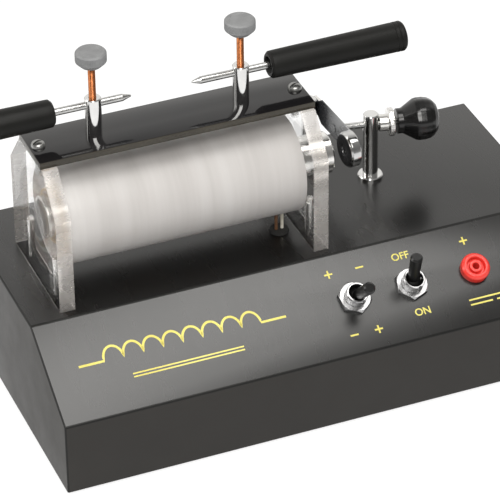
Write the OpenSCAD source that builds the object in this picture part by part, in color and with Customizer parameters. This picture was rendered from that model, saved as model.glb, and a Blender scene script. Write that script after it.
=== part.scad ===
// Bench induction coil: a sloping-front console carries a wound coil between two
// clear end cheeks, a spark gap with two sliding rods on top, and a spring
// interrupter with an adjustable contact screw beside it.
// Origin: centre of the console's footprint, on the plane that the feet rest on.
// +X runs along the console to its right-hand end, +Y to its back, +Z up.

/* [Console] */
// Length of the console
console_l = 300; // [290:1:400]
// Depth of the console from front to back
console_d = 160; // [150:1:220]
// Height of the console's side walls
console_h = 73.5; // [66:0.5:100]
// Height of the upright front face
front_h = 42; // [34:0.5:50]
// Depth taken up by the sloping front panel
panel_run = 49.5; // [48:0.5:51]
// Wall thickness of the console
wall = 3; // [2:0.1:4]
// Thickness of the closing plate underneath
plate_t = 3; // [2:0.1:5]
// How far the closing plate sits up inside the walls
plate_recess = 0.8; // [0.2:0.1:1.5]
// Play around the closing plate
plate_play = 0.3; // [0.1:0.05:1]
// Diameter of the screw posts inside the console
boss_d = 10; // [8:0.5:14]
// Distance of the screw posts from the outer walls
boss_inset = 9; // [7:0.5:14]
// Shank diameter of the plate screws
plate_screw_d = 3.5; // [3:0.1:4]
// Length of the plate screws
plate_screw_l = 14; // [10:0.5:20]
// Diameter of the feet
foot_d = 16; // [10:0.5:24]
// Thickness of the feet
foot_h = 2; // [1.6:0.1:6]
// Distance of the feet from the outer walls
foot_inset = 25; // [22:0.5:40]

/* [Coil unit] */
// Centre of the coil along the console
coil_x = -55.6; // [-62:0.1:-52]
// Centre line of the coil from front to back
coil_y = 10.3; // [6:0.1:14]
// Height of the coil's axis above the deck
axis_h = 37; // [34:0.5:42]
// Distance between the two end cheeks
coil_l = 135.1; // [120:0.1:140]
// Thickness of the clear end cheeks
cheek_t = 8.5; // [7:0.1:10]
// Width of an end cheek at its foot
cheek_w = 71.5; // [64:0.5:78]
// Width of an end cheek at its top
cheek_top_w = 36.5; // [34:0.5:50]
// Height at which the end cheek starts to narrow
cheek_shoulder = 55.8; // [45:0.1:65]
// Height of an end cheek
cheek_h = 77.2; // [74:0.1:90]
// Outer diameter of the coil's outer sleeve
sleeve_d = 54; // [48:0.5:58]
// Wall thickness of the outer sleeve
sleeve_t = 1; // [0.8:0.1:1.5]
// Outer diameter of the secondary winding
secondary_d = 50; // [42:0.5:55]
// Distance of the winding's end discs from the end cheeks
winding_inset = 3.5; // [2:0.5:8]
// Thickness of the pale discs at the winding's ends
disc_t = 2; // [1:0.1:3]
// Outer diameter of those discs
disc_d = 36; // [33:0.5:44]
// Outer diameter of the insulating tube between the two windings
tube_d = 30; // [28:0.5:34]
// Wall thickness of the insulating tube
tube_t = 1.5; // [1:0.1:2]
// Outer diameter of the primary winding
primary_d = 26.6; // [24.8:0.1:26.9]
// Diameter of the bundle of iron wires in the core
core_d = 19; // [16:0.1:19.5]
// Outer diameter of the core's steel end cap
cap_d = 23; // [22:0.1:24]
// How far the core's end cap stands out of the right cheek
cap_out = 14.5; // [10:0.5:16]
// Wall thickness of the core's end cap
cap_t = 1.5; // [1:0.1:1.7]
// Depth of the blind seat for the core in the left cheek
core_seat = 4; // [2:0.1:6]
// Play between nested round parts of the coil
nest_play = 0.1; // [0.05:0.01:0.2]
// Shank diameter of the screws that hold the cheeks and the bridge
unit_screw_d = 4; // [3.5:0.1:4.5]
// How far the cheek screws reach up into a cheek
cheek_screw_reach = 24; // [18:0.5:28]
// Distance between the two screws of a cheek
cheek_screw_pitch = 40; // [32:0.5:50]
// How far the bridge screws reach down into a cheek
bridge_screw_reach = 12; // [8:0.5:16]

/* [Bridge and spark gap] */
// Thickness of the bridge plate
bridge_t = 4; // [3:0.1:6]
// Width of the bridge plate
bridge_w = 32.6; // [28:0.1:36]
// How far the bridge plate stands past the cheeks
bridge_over = 0.6; // [0:0.1:3]
// Diameter of the two posts
post_d = 9; // [8:0.1:11]
// Distance between the two posts
post_pitch = 82.2; // [78:0.1:86]
// Height of the posts above the bridge
post_h = 22.2; // [21:0.1:28]
// Thread diameter of the studs under the posts
post_stud_d = 5; // [4:0.1:6]
// Diameter of the spark rods
rod_d = 4; // [3:0.1:5]
// Height of the spark rods above the bridge
rod_h = 18.1; // [15:0.1:19]
// Distance of the left rod's point from its post
left_reach = 21; // [15:0.1:21]
// Distance of the right rod's point from its post
right_reach = 27.5; // [21:0.1:28]
// Length of the cone at a rod's tip
rod_cone = 4.5; // [3:0.1:7]
// Length of bare rod between its tip and its handle
rod_bare = 43.1; // [42:0.1:50]
// Length of rod held inside the handle
rod_held = 60; // [30:1:70]
// Length of an insulating handle
handle_l = 77.3; // [74:0.1:90]
// Diameter of a handle at its inner end
handle_d1 = 14.9; // [12:0.1:16]
// Diameter of a handle at its outer end
handle_d2 = 16.4; // [16:0.1:20]
// Diameter of the clamp screws
clamp_d = 4; // [3:0.1:5]
// Height of the clamp heads above the bridge
clamp_head_z = 40.6; // [36:0.1:46]
// Diameter of the clamp heads
clamp_head_d = 16.5; // [14:0.1:20]
// Height of the clamp heads
clamp_head_h = 9.1; // [8:0.1:12]

/* [Interrupter] */
// Height of the hammer above the deck
reed_h = 35.5; // [33:0.1:36.5]
// Radius of the hammer
hammer_r = 10; // [8:0.1:12]
// Thickness of the hammer
hammer_t = 6; // [4:0.1:7]
// Gap between the core's end cap and the hammer
hammer_gap = 9.8; // [8.5:0.1:12]
// Thickness of the spring reed
reed_t = 0.8; // [0.5:0.1:1.2]
// Height of the reed at its clamped end
reed_w1 = 9; // [8:0.1:10]
// Height of the reed
reed_w2 = 15.2; // [13:0.1:17]
// Turn of the reed, the hammer and their post about the hammer's centre
reed_turn = 3; // [0:0.5:4]
// Distance from the coil's axis back to the reed post
reed_post_back = 47.7; // [46:0.1:50]
// Diameter of the reed post and of the contact pillar
pillar_d = 8.6; // [8:0.1:10]
// Height of the reed post
reed_post_h = 41; // [41:0.1:46]
// Depth of the flat on the reed post
post_flat = 0.6; // [0.4:0.1:0.8]
// Length of the reed held against the reed post
reed_root_l = 6; // [5.5:0.1:7]
// Thickness of the plate that clamps the reed
clamp_plate_t = 1.5; // [1:0.1:2.5]
// Shank diameter of the reed clamp screws
reed_screw_d = 2; // [1.6:0.1:2]
// Distance of the contact pillar right of the reed
pillar_right = 18.3; // [17:0.1:22]
// Distance from the coil's axis back to the contact pillar
pillar_back = 20.9; // [19:0.1:24]
// Height of the contact pillar
pillar_h = 40.4; // [40:0.1:46]
// Height of the contact screw above the deck
contact_h = 33.8; // [33:0.1:35.5]
// Turn of the contact pillar about its own axis
pillar_turn = -11.5; // [-12:0.5:0]
// Diameter of the collar under the contact pillar
collar_d = 14; // [12:0.5:18]
// Thickness of that collar
collar_t = 2; // [1:0.1:3]
// Thread diameter of the studs under the pillars
pillar_stud_d = 5; // [4:0.1:6]
// Diameter of the contact screw
contact_d = 4; // [3:0.1:5]
// Diameter of the contact rivet on the reed
rivet_d = 5; // [4:0.1:6]
// Height of the contact rivet on the screw's side
rivet_h = 1; // [0.6:0.1:1.6]
// Height of the contact rivet on the hammer's side
rivet_tail_h = 0.4; // [0.2:0.1:1]
// Diameter of the locking nut's hub
lock_hub_d = 9.4; // [8:0.1:11]
// Length of the locking nut's hub
lock_hub_l = 5; // [4:0.1:7]
// Diameter of the locking nut's rim
lock_rim_d = 15.6; // [13:0.1:18]
// Thickness of the locking nut's rim
lock_rim_t = 3.3; // [2.5:0.1:4.5]
// Gap between the locking nut and the knob
knob_gap = 1.5; // [0.5:0.1:3]
// Length of the contact knob
knob_l = 23.5; // [18:0.5:26]
// Largest diameter of the contact knob
knob_d = 23.6; // [22:0.1:26]
// Diameter of the knob's neck
knob_neck_d = 14; // [10:0.5:15]

/* [Front panel] */
// Distance of the controls' row up the slope
row_s = 30.9; // [29:0.1:33]
// Place of the reversing switch along the console
reversing_x = 23; // [20:0.1:27]
// Place of the on-off switch along the console
onoff_x = 56.1; // [54:0.1:64]
// Place of the red socket along the console
socket_x = 93.3; // [88:0.1:95]
// Distance between the two sockets
socket_pitch = 25.4; // [22:0.1:28]
// Turn of the switches in the panel
switch_turn = 12; // [0:1:25]
// Swing of the levers to each side
lever_tilt = 14; // [10:0.5:16]
// Diameter of a lever
lever_d = 6.7; // [5.6:0.1:6.8]
// Length of a lever from its pivot
lever_l = 22.5; // [20:0.5:26]
// Thread diameter of the switch bushes
bush_d = 12; // [11.6:0.1:12.4]
// Bore of the switch bushes
bush_bore = 9.8; // [9.5:0.1:10]
// How far the bushes stand out of the panel
bush_out = 8.4; // [7.6:0.1:9]
// Depth of the lever's pivot below the bush's mouth
pivot_depth = 5.2; // [4.9:0.1:5.5]
// Diameter of the pivot pins
pivot_pin_d = 1.5; // [1.2:0.1:2]
// Width across the flats of the hexagon nuts
nut_af = 16.4; // [15:0.1:18]
// Thickness of the hexagon nuts
nut_t = 2.6; // [2:0.1:3]
// Turn of the reversing switch's hexagon nut
reversing_nut_turn = 24; // [0:1:59]
// Turn of the on-off switch's hexagon nut
onoff_nut_turn = 8; // [0:1:59]
// Length, width and depth of a switch body
switch_l = 28; // [24:0.5:30]
// Width of a switch body
switch_w = 16; // [14:0.5:18]
// Depth of a switch body
switch_h = 18; // [14:0.5:20]
// Diameter of a socket's head
socket_d = 16; // [14:0.1:18]
// Height of a socket's head
socket_h = 5; // [4:0.1:7]
// Diameter of the hole for a plug in the sockets
socket_bore = 4; // [3.9:0.05:4.1]
// Outer diameter of a socket's metal tube
socket_tube_d = 5.6; // [5.2:0.1:6]
// Depth of the hole for a plug
socket_depth = 19; // [16:0.5:24]
// Diameter of a socket's neck behind the panel
socket_neck_d = 9; // [8:0.1:10]

/* [Inside] */
// Length of the capacitor
capacitor_l = 44; // [36:1:50]
// Width of the capacitor
capacitor_w = 22; // [18:1:26]
// Height of the capacitor
capacitor_h = 26; // [20:1:32]
// Place of the capacitor along the console
capacitor_x = 62; // [50:1:75]
// Distance of the capacitor's middle from the console's back
capacitor_back = 28; // [26:1:36]
// Thickness of the strap over the capacitor
strap_t = 1; // [0.6:0.1:1.4]
// Width of that strap
strap_w = 12; // [8:1:16]
// Diameter of an insulated connecting wire
wire_d = 1.8; // [1.2:0.1:2]

/* [Hidden] */
$fn = 64;

slit = 0.02;                    // overlap of a cutting tool past the face that it cuts
shaft_play = 0.05;              // radial play of a turning or sliding shaft in its hole
screw_play = 0.1;               // radial play of a fixed screw in its hole
face_play = 0.05;               // play between faces that turn or slide past each other

rim_z = foot_h - plate_recess;              // lower edge of the console's walls
deck_z = rim_z + console_h;                 // top of the console
front_z = rim_z + front_h;                  // fold between front face and slope
panel_angle = atan2(console_h - front_h, panel_run);
plate_top = foot_h + plate_t;               // inner face of the closing plate
x_side = console_l / 2;
y_side = console_d / 2;

axis_z = deck_z + axis_h;                   // the coil's axis
coil_left = coil_x - coil_l / 2;            // inner face of the left cheek
coil_right = coil_x + coil_l / 2;           // inner face of the right cheek
cheek_top = deck_z + cheek_h;
bridge_top = cheek_top + bridge_t;
sleeve_r = sleeve_d / 2;
cap_r = cap_d / 2;
cap_end = coil_right + cheek_t + cap_out;
cap_floor = 2;                              // thickness of the cap's closed end
core_left = coil_left - core_seat;
core_right = cap_end - cap_floor;

rod_z = bridge_top + rod_h;
clamp_head_z0 = bridge_top + clamp_head_z;
clamp_tip_z = rod_z + rod_d / 2 + face_play;
stud_nut_af = 8;                            // post and pillar nuts
stud_nut_t = 4;
tag_t = 0.8;                                // solder tags under the post nuts
tag_reach = 7.5;                            // from a post's axis to its lead

reed_z = deck_z + reed_h;
contact_z = deck_z + contact_h;
reed_x = cap_end + hammer_gap + hammer_t;   // the reed's face that carries the hammer
pillar_x = reed_x + reed_t + pillar_right;
pillar_y = coil_y + pillar_back;

// In the reed's own frame, whose origin is on its face at the hammer's centre.
reed_post_x = post_flat - pillar_d / 2;
reed_hinge_y = reed_post_back - reed_root_l / 2 - reed_t / 2 - face_play;
away_x = (pillar_x - reed_x) * cos(reed_turn) + pillar_back * sin(reed_turn) - reed_t;
away_y = pillar_back * cos(reed_turn) - (pillar_x - reed_x) * sin(reed_turn);
meet = pillar_turn - reed_turn;             // angle at which the contact screw meets the reed
contact_y = away_y - away_x * tan(meet);
contact_tip_r = 0.7;                        // the screw's flat point
contact_end = (away_x - rivet_h - face_play) / cos(meet) - contact_tip_r * abs(tan(meet));
lock_x = pillar_d / 2 + face_play;          // along the contact screw, from the pillar's axis
knob_x = lock_x + lock_hub_l + lock_rim_t + knob_gap;
knob_screw_end = knob_x + knob_l * 0.55;

pivot_z = bush_out - pivot_depth;           // above the panel's face
ball_r = bush_bore / 2 - 0.25;
black_x = socket_x + socket_pitch;
lead_x = coil_right - 9;                    // where the primary's leads leave the sleeve
lead_y = coil_y - 9;
lead_pitch = wire_d + 1.6;
lead_play = 0.3;                // a lead's end stops this far from the winding
grommet_d = 9;
capacitor_y = y_side - capacitor_back;

// Inner face of the slope: its height at a depth y, and its depth at a height z.
function slope_inner_z(y) = front_h + y * tan(panel_angle) - wall / cos(panel_angle);
function slope_inner_y(z) = (z - front_h + wall / cos(panel_angle)) / tan(panel_angle);

// ---------------------------------------------------------------- shared shapes

// Extrudes a profile drawn in (y, z) along X, from x0 to x1.
module along_x(x0, x1) {
    translate([x0, 0, 0]) rotate([90, 0, 90]) linear_extrude(x1 - x0) children();
}

// The tool for a round hole through a thickness t above z = 0.
module hole(t, d) {
    translate([0, 0, -1]) cylinder(h = t + 2, d = d);
}

// A round bar along X.
module bar_x(x0, x1, r) {
    translate([x0, 0, 0]) rotate([0, 90, 0]) cylinder(h = x1 - x0, r = r);
}

// A tube along X.
module pipe_x(x0, x1, r_out, r_in) {
    difference() {
        bar_x(x0, x1, r_out);
        bar_x(x0 - 1, x1 + 1, r_in);
    }
}

// A hexagon nut with chamfered corners, on z = 0, with its hole.
module hex_nut(af, t, hole_d) {
    chamfer = af * 0.07;
    corner_r = af / cos(30) / 2;
    difference() {
        intersection() {
            cylinder(h = t, r = corner_r, $fn = 6);
            rotate_extrude() polygon([
                [0, 0], [corner_r, 0], [corner_r, t - chamfer], [corner_r - chamfer, t], [0, t]
            ]);
        }
        hole(t, hole_d);
    }
}

// A screw that points down: domed head above z = 0, shank below.
module dome_screw(shank_d, l, head_d, head_h) {
    dome_r = (pow(head_d / 2, 2) + pow(head_h, 2)) / (2 * head_h);
    rotate_extrude() intersection() {
        union() {
            translate([0, -l]) square([shank_d / 2, l + slit]);
            intersection() {
                translate([0, head_h - dome_r]) circle(r = dome_r);
                square([head_d / 2, head_h]);
            }
        }
        translate([0, -l]) square([head_d, l + head_h]);
    }
}

// Places its children in the coil's own frame: axis along X through the origin.
module on_axis() {
    translate([0, coil_y, axis_z]) children();
}

// Places its children in the row on the sloping panel: local z is square to the panel.
module on_panel(x) {
    translate([x, -y_side, front_z]) rotate([panel_angle, 0, 0]) translate([0, row_s, 0])
        children();
}

// Places its children at a switch, turned as the switch is turned.
module on_switch(x) {
    on_panel(x) rotate([0, 0, switch_turn]) children();
}

// The four corners of the console: local +X and +Y point out at the corner's walls.
module at_corners(inset) {
    for (sx = [0, 1], sy = [0, 1])
        mirror([sx, 0, 0]) mirror([0, sy, 0]) translate([x_side - inset, y_side - inset, 0]) children();
}

// The four screws of the two cheeks.
module at_cheek_screws() {
    for (x = [coil_left - cheek_t / 2, coil_right + cheek_t / 2], sy = [-1, 1])
        translate([x, coil_y + sy * cheek_screw_pitch / 2, 0]) children();
}

// The two screws of the bridge.
module at_bridge_screws() {
    for (x = [coil_left - cheek_t / 2, coil_right + cheek_t / 2])
        translate([x, coil_y, bridge_top]) children();
}

// Side 0 is the left-hand post, side 1 the right-hand one, which is its mirror image.
module at_post(side) {
    translate([coil_x, coil_y, 0]) mirror([side, 0, 0]) translate([-post_pitch / 2, 0, 0]) children();
}

// The reed's own frame: local Y runs back along the reed, local X away from the hammer.
module on_reed() {
    translate([reed_x, coil_y, reed_z]) rotate([0, 0, reed_turn]) children();
}

module at_reed_post() {
    on_reed() translate([reed_post_x, reed_post_back, -reed_z]) children();
}

module at_contact_pillar() {
    translate([pillar_x, pillar_y, 0]) children();
}

// Both of them.
module at_pillars() {
    at_reed_post() children();
    at_contact_pillar() children();
}

// The contact screw's axis: local X runs away from the reed, origin on the pillar's axis.
module on_contact() {
    translate([pillar_x, pillar_y, contact_z]) rotate([0, 0, pillar_turn]) children();
}

// ---------------------------------------------------------------- console

// Outline of the console in (y, z), its lower edge at z = 0.
module console_outline() {
    polygon([
        [-y_side, 0], [-y_side, front_h], [-y_side + panel_run, console_h],
        [y_side, console_h], [y_side, 0]
    ]);
}

// The same outline drawn in by the wall, open towards the floor.
module console_inside() {
    polygon([
        [-y_side + wall, -1],
        [-y_side + wall, slope_inner_z(wall)],
        [-y_side + slope_inner_y(console_h - wall), console_h - wall],
        [y_side - wall, console_h - wall],
        [y_side - wall, -1]
    ]);
}

module console_shell() {
    color("#2b2b2a") difference() {
        translate([0, 0, rim_z]) union() {
            difference() {
                along_x(-x_side, x_side) console_outline();
                along_x(-x_side + wall, x_side - wall) console_inside();
            }
            intersection() {
                along_x(-x_side + 1, x_side - 1) console_outline();
                translate([0, 0, plate_top - rim_z]) at_corners(boss_inset) boss_and_ribs();
            }
        }
        translate([0, 0, plate_top]) at_corners(boss_inset)
            hole(plate_screw_l - plate_t, plate_screw_d + 2 * screw_play);
        translate([0, 0, deck_z - wall]) {
            at_cheek_screws() hole(wall, unit_screw_d + 2 * screw_play);
            at_pillars() hole(wall, pillar_stud_d + 2 * screw_play);
            translate([lead_x, lead_y, 0]) hole(wall, grommet_d);
        }
        for (x = [reversing_x, onoff_x])
            on_switch(x) translate([0, 0, -2 * wall]) hole(3 * wall, bush_d + 2 * screw_play);
        for (x = [socket_x, black_x])
            on_panel(x) translate([0, 0, -2 * wall]) hole(3 * wall, socket_neck_d + 2 * screw_play);
    }
}

// A screw post, with two ribs that tie it to the walls beside it.
module boss_and_ribs() {
    rib_t = 2;
    cylinder(h = console_h, d = boss_d);
    translate([0, -rib_t / 2, 0]) cube([boss_inset, rib_t, console_h]);
    translate([-rib_t / 2, 0, 0]) cube([rib_t, boss_inset, console_h]);
}

module base_plate() {
    half_x = x_side - wall - plate_play;
    half_y = y_side - wall - plate_play;
    color("#3a3a38") difference() {
        translate([-half_x, -half_y, foot_h]) cube([2 * half_x, 2 * half_y, plate_t]);
        at_corners(boss_inset) translate([0, 0, foot_h]) sunk_screw_space(screw_play);
        translate([capacitor_x, capacitor_y, foot_h]) at_strap_screws()
            hole(plate_t, plate_screw_d + 2 * screw_play);
    }
}

// The space of a countersunk screw whose head is flush with z = 0, pointing up.
module sunk_screw_space(play) {
    head_r = plate_screw_d;
    shank_r = plate_screw_d / 2;
    face = play > 0 ? -1 : 0.1;
    rotate_extrude() polygon([
        [0, face], [head_r + play, face], [head_r + play, 0.3],
        [shank_r + play, 2.3], [shank_r + play, plate_screw_l], [0, plate_screw_l]
    ]);
}

module base_plate_screws() {
    color("silver") at_corners(boss_inset) translate([0, 0, foot_h]) difference() {
        sunk_screw_space(0);
        for (a = [0, 90])
            rotate([0, 0, a]) translate([-2, -0.4, 0]) cube([4, 0.8, 0.9]);
    }
}

module rubber_feet() {
    color("#202020") at_corners(foot_inset) rotate_extrude() polygon([
        [0, 0], [foot_d / 2 - 0.6, 0], [foot_d / 2, 0.6], [foot_d / 2, foot_h], [0, foot_h]
    ]);
}

// ---------------------------------------------------------------- coil unit

module cheek_outline() {
    polygon([
        [-cheek_w / 2, 0], [-cheek_w / 2, cheek_shoulder], [-cheek_top_w / 2, cheek_h],
        [cheek_top_w / 2, cheek_h], [cheek_w / 2, cheek_shoulder], [cheek_w / 2, 0]
    ]);
}

module cheek(x0) {
    difference() {
        translate([0, coil_y, deck_z]) along_x(x0, x0 + cheek_t) cheek_outline();
        translate([0, 0, deck_z]) at_cheek_screws()
            hole(cheek_screw_reach, unit_screw_d + 2 * screw_play);
        at_bridge_screws() translate([0, 0, -bridge_t - bridge_screw_reach])
            hole(bridge_screw_reach, unit_screw_d + 2 * screw_play);
    }
}

module left_end_cheek() {
    color([0.93, 0.93, 0.90, 0.35]) difference() {
        cheek(coil_left - cheek_t);
        on_axis() bar_x(core_left, coil_left + 1, cap_r + nest_play);
    }
}

module right_end_cheek() {
    color([0.93, 0.93, 0.90, 0.35]) difference() {
        cheek(coil_right);
        on_axis() bar_x(coil_right - 1, coil_right + cheek_t + 1, cap_r + nest_play);
    }
}

module cheek_screws() {
    head_h = 2.6;
    color("silver") at_cheek_screws() translate([0, 0, deck_z - wall]) mirror([0, 0, 1])
        difference() {
            dome_screw(unit_screw_d, wall + cheek_screw_reach, 1.9 * unit_screw_d, head_h);
            translate([-unit_screw_d, -0.5, head_h - 1.2]) cube([2 * unit_screw_d, 1, 2]);
        }
}

module bridge_plate() {
    edge = 0.6;
    w = bridge_w / 2;
    color("#1b1b1c") difference() {
        translate([0, coil_y, cheek_top])
            along_x(coil_left - cheek_t - bridge_over, coil_right + cheek_t + bridge_over) polygon([
                [-w, 0], [-w, bridge_t - edge], [-w + edge, bridge_t],
                [w - edge, bridge_t], [w, bridge_t - edge], [w, 0]
            ]);
        at_bridge_screws() translate([0, 0, -bridge_t]) hole(bridge_t, unit_screw_d + 2 * screw_play);
        for (side = [0, 1])
            at_post(side) translate([0, 0, cheek_top]) hole(bridge_t, post_stud_d + 2 * screw_play);
    }
}

module bridge_screws() {
    head_h = 3.2;
    color("silver") at_bridge_screws() difference() {
        dome_screw(unit_screw_d, bridge_t + bridge_screw_reach, 1.9 * unit_screw_d, head_h);
        rotate([0, 0, 20]) translate([-unit_screw_d, -0.5, head_h - 1.3]) cube([2 * unit_screw_d, 1, 2]);
    }
}

module coil_sleeve() {
    color("#d9d8d5") difference() {
        on_axis() pipe_x(coil_left, coil_right, sleeve_r, sleeve_r - sleeve_t);
        at_leads() translate([0, 0, deck_z]) cylinder(h = axis_h, d = wire_d + 2 * screw_play);
        for (side = [0, 1])
            at_post(side) translate([0, tag_reach, axis_z]) hole(sleeve_r, wire_d + 2 * screw_play);
    }
}

module coil_end_discs() {
    color("#e8e0c8") on_axis() for (x = [coil_left + winding_inset, coil_right - winding_inset - disc_t])
        pipe_x(x, x + disc_t, disc_d / 2, tube_d / 2 + nest_play);
}

module secondary_winding() {
    start = winding_inset + disc_t;
    color("#4a2c22") on_axis()
        pipe_x(coil_left + start, coil_right - start, secondary_d / 2, tube_d / 2 + nest_play);
}

module insulating_tube() {
    color("#c9b48c") on_axis() pipe_x(coil_left, coil_right, tube_d / 2, tube_d / 2 - tube_t);
}

module primary_winding() {
    color("#b5622d") on_axis()
        pipe_x(coil_left + winding_inset, coil_right - winding_inset, primary_d / 2, cap_r + nest_play);
}

module iron_core() {
    color("#6e6e6c") on_axis() bar_x(core_left, core_right, core_d / 2);
}

// The cap is a closed tube over the whole core, so that its end stands out of the cheek.
module core_cap() {
    chamfer = 0.8;
    color("#c8c8c8") on_axis() difference() {
        rotate([0, 90, 0]) rotate_extrude() polygon([
            [0, core_left], [cap_r, core_left], [cap_r, cap_end - chamfer],
            [cap_r - chamfer, cap_end], [0, cap_end]
        ]);
        bar_x(core_left - 1, core_right, cap_r - cap_t);
    }
}

// The two leads of the primary winding, side by side under the sleeve.
module at_leads() {
    for (i = [0, 1])
        translate([lead_x + (i - 0.5) * lead_pitch, lead_y, 0]) children();
}

module primary_leads() {
    inside_l = 14;
    lead_end = axis_z - sqrt(pow(secondary_d / 2, 2) - pow(lead_y - coil_y, 2)) - lead_play;
    start = deck_z - wall - inside_l;
    color("#7a4a2a") at_leads() translate([0, 0, start]) cylinder(h = lead_end - start, d = wire_d);
}

module lead_grommet() {
    lip = 1.4;
    color("#1c1c1c") translate([lead_x, lead_y, deck_z]) difference() {
        rotate_extrude() polygon([
            [0, -wall - lip], [grommet_d / 2 + 1, -wall - lip], [grommet_d / 2 + 1, -wall],
            [grommet_d / 2, -wall], [grommet_d / 2, 0], [grommet_d / 2 + 1, 0],
            [grommet_d / 2 + 0.5, lip], [0, lip]
        ]);
        for (i = [0, 1])
            translate([(i - 0.5) * lead_pitch, 0, -wall - lip]) hole(wall + 2 * lip, wire_d + 2 * nest_play);
    }
}

// A solder tag under each post nut, and the lead from it down into the sleeve.
module secondary_leads() {
    lead_end = axis_z + sqrt(pow(secondary_d / 2, 2) - pow(tag_reach, 2)) + lead_play;
    tag_z = cheek_top - tag_t;
    tab_w = 3;
    color("#b8860b") for (side = [0, 1]) at_post(side) {
        translate([0, 0, tag_z]) difference() {
            union() {
                cylinder(h = tag_t, d = stud_nut_af + 1);
                translate([-tab_w / 2, 0, 0]) cube([tab_w, tag_reach + tab_w / 2, tag_t]);
            }
            hole(tag_t, post_stud_d + 2 * screw_play);
        }
        translate([0, tag_reach, lead_end]) cylinder(h = tag_z + slit - lead_end, d = wire_d);
    }
}

module post_nuts() {
    color("silver") for (side = [0, 1])
        at_post(side) translate([0, 0, cheek_top - tag_t - stud_nut_t])
            hex_nut(stud_nut_af, stud_nut_t, post_stud_d + 2 * nest_play);
}

// ---------------------------------------------------------------- spark gap

// A post: round body with a cross hole for the rod, a threaded hole for the clamp screw
// from above, and a stud that goes down through the bridge.
module post() {
    edge = 0.5;
    stud_l = bridge_t + tag_t + stud_nut_t + 1;
    color("#d0d0d0") difference() {
        translate([0, 0, bridge_top]) rotate_extrude() polygon([
            [0, -stud_l], [post_stud_d / 2, -stud_l], [post_stud_d / 2, 0], [post_d / 2, 0],
            [post_d / 2, post_h - edge], [post_d / 2 - edge, post_h], [0, post_h]
        ]);
        translate([0, 0, rod_z]) bar_x(-post_d, post_d, rod_d / 2 + shaft_play);
        translate([0, 0, rod_z]) cylinder(h = post_h, d = clamp_d + 2 * shaft_play);
    }
}

// A spark rod with its point towards the gap; its other end is held in the handle.
module rod(reach) {
    point_r = 0.5;
    rod_l = rod_bare + rod_held;
    color("#d0d0d0") translate([reach, 0, rod_z]) rotate([0, -90, 0]) rotate_extrude() polygon([
        [0, 0], [point_r, 0], [rod_d / 2, rod_cone], [rod_d / 2, rod_l], [0, rod_l]
    ]);
}

module handle(reach) {
    edge = 1;
    color("#1d1d1d") translate([reach - rod_bare, 0, rod_z]) rotate([0, -90, 0]) difference() {
        rotate_extrude() polygon([
            [0, 0], [handle_d1 / 2 - edge, 0], [handle_d1 / 2, edge],
            [handle_d2 / 2, handle_l - edge], [handle_d2 / 2 - edge, handle_l], [0, handle_l]
        ]);
        translate([0, 0, -1]) cylinder(h = rod_held + 1 + nest_play, d = rod_d + 2 * nest_play);
    }
}

module clamp_screw() {
    held = clamp_head_h * 0.6;
    color("#b4663a") translate([0, 0, clamp_tip_z])
        cylinder(h = clamp_head_z0 + held - clamp_tip_z, d = clamp_d);
}

module clamp_head() {
    held = clamp_head_h * 0.6;
    r = clamp_head_d / 2;
    edge = 0.9;
    rim = clamp_head_h * 0.4;
    color("#9aa0a4") translate([0, 0, clamp_head_z0]) difference() {
        rotate_extrude() polygon([
            [0, 0], [r * 0.5, 0], [r - edge, rim - edge], [r, rim],
            [r, clamp_head_h - edge], [r - edge, clamp_head_h], [0, clamp_head_h]
        ]);
        translate([0, 0, -1]) cylinder(h = held + 1 + nest_play, d = clamp_d + 2 * nest_play);
    }
}

module left_post() { at_post(0) post(); }
module left_rod() { at_post(0) rod(left_reach); }
module left_handle() { at_post(0) handle(left_reach); }
module left_clamp_screw() { at_post(0) clamp_screw(); }
module left_clamp_head() { at_post(0) clamp_head(); }
module right_post() { at_post(1) post(); }
module right_rod() { at_post(1) rod(right_reach); }
module right_handle() { at_post(1) handle(right_reach); }
module right_clamp_screw() { at_post(1) clamp_screw(); }
module right_clamp_head() { at_post(1) clamp_head(); }

// ---------------------------------------------------------------- interrupter

// The hammer's flat face looks at the core's end cap.
module on_hammer() {
    on_reed() translate([-hammer_t, 0, 0]) children();
}

hammer_rivet_r = 1.5;

module hammer() {
    edge = 1;
    color("#8f9294") on_hammer() difference() {
        rotate([0, 90, 0]) rotate_extrude() polygon([
            [0, 0], [hammer_r - edge, 0], [hammer_r, edge],
            [hammer_r, hammer_t - edge / 2], [hammer_r - edge / 2, hammer_t], [0, hammer_t]
        ]);
        bar_x(-1, hammer_t + 1, hammer_rivet_r + nest_play);
        bar_x(-1, 1, 2 * hammer_rivet_r);
    }
}

module hammer_rivet() {
    head_t = 1;
    color("#707274") on_hammer() {
        bar_x(0.3, hammer_t + reed_t + head_t, hammer_rivet_r);
        bar_x(0.3, 1 - slit, 2 * hammer_rivet_r - nest_play);
        bar_x(hammer_t + reed_t, hammer_t + reed_t + head_t, 2 * hammer_rivet_r);
    }
}

// Outline of the reed in (y, z): it narrows at its bending line, in front of the clamp.
module reed_outline() {
    taper = 4;
    polygon([
        [0, -reed_w2 / 2], [0, reed_w2 / 2], [reed_hinge_y - taper, reed_w2 / 2],
        [reed_hinge_y, reed_w1 / 2], [reed_hinge_y, -reed_w1 / 2], [reed_hinge_y - taper, -reed_w2 / 2]
    ]);
    circle(d = reed_w2);
}

module at_contact() {
    translate([0, contact_y, contact_h - reed_h]) children();
}

module reed() {
    color("#4c5052") on_reed() difference() {
        union() {
            along_x(0, reed_t) reed_outline();
            translate([reed_t / 2, reed_hinge_y, -reed_w1 / 2]) cylinder(h = reed_w1, d = reed_t);
        }
        bar_x(-1, reed_t + 1, hammer_rivet_r + nest_play);
        at_contact() bar_x(-1, reed_t + 1, rivet_d / 4 + nest_play);
    }
}

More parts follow.
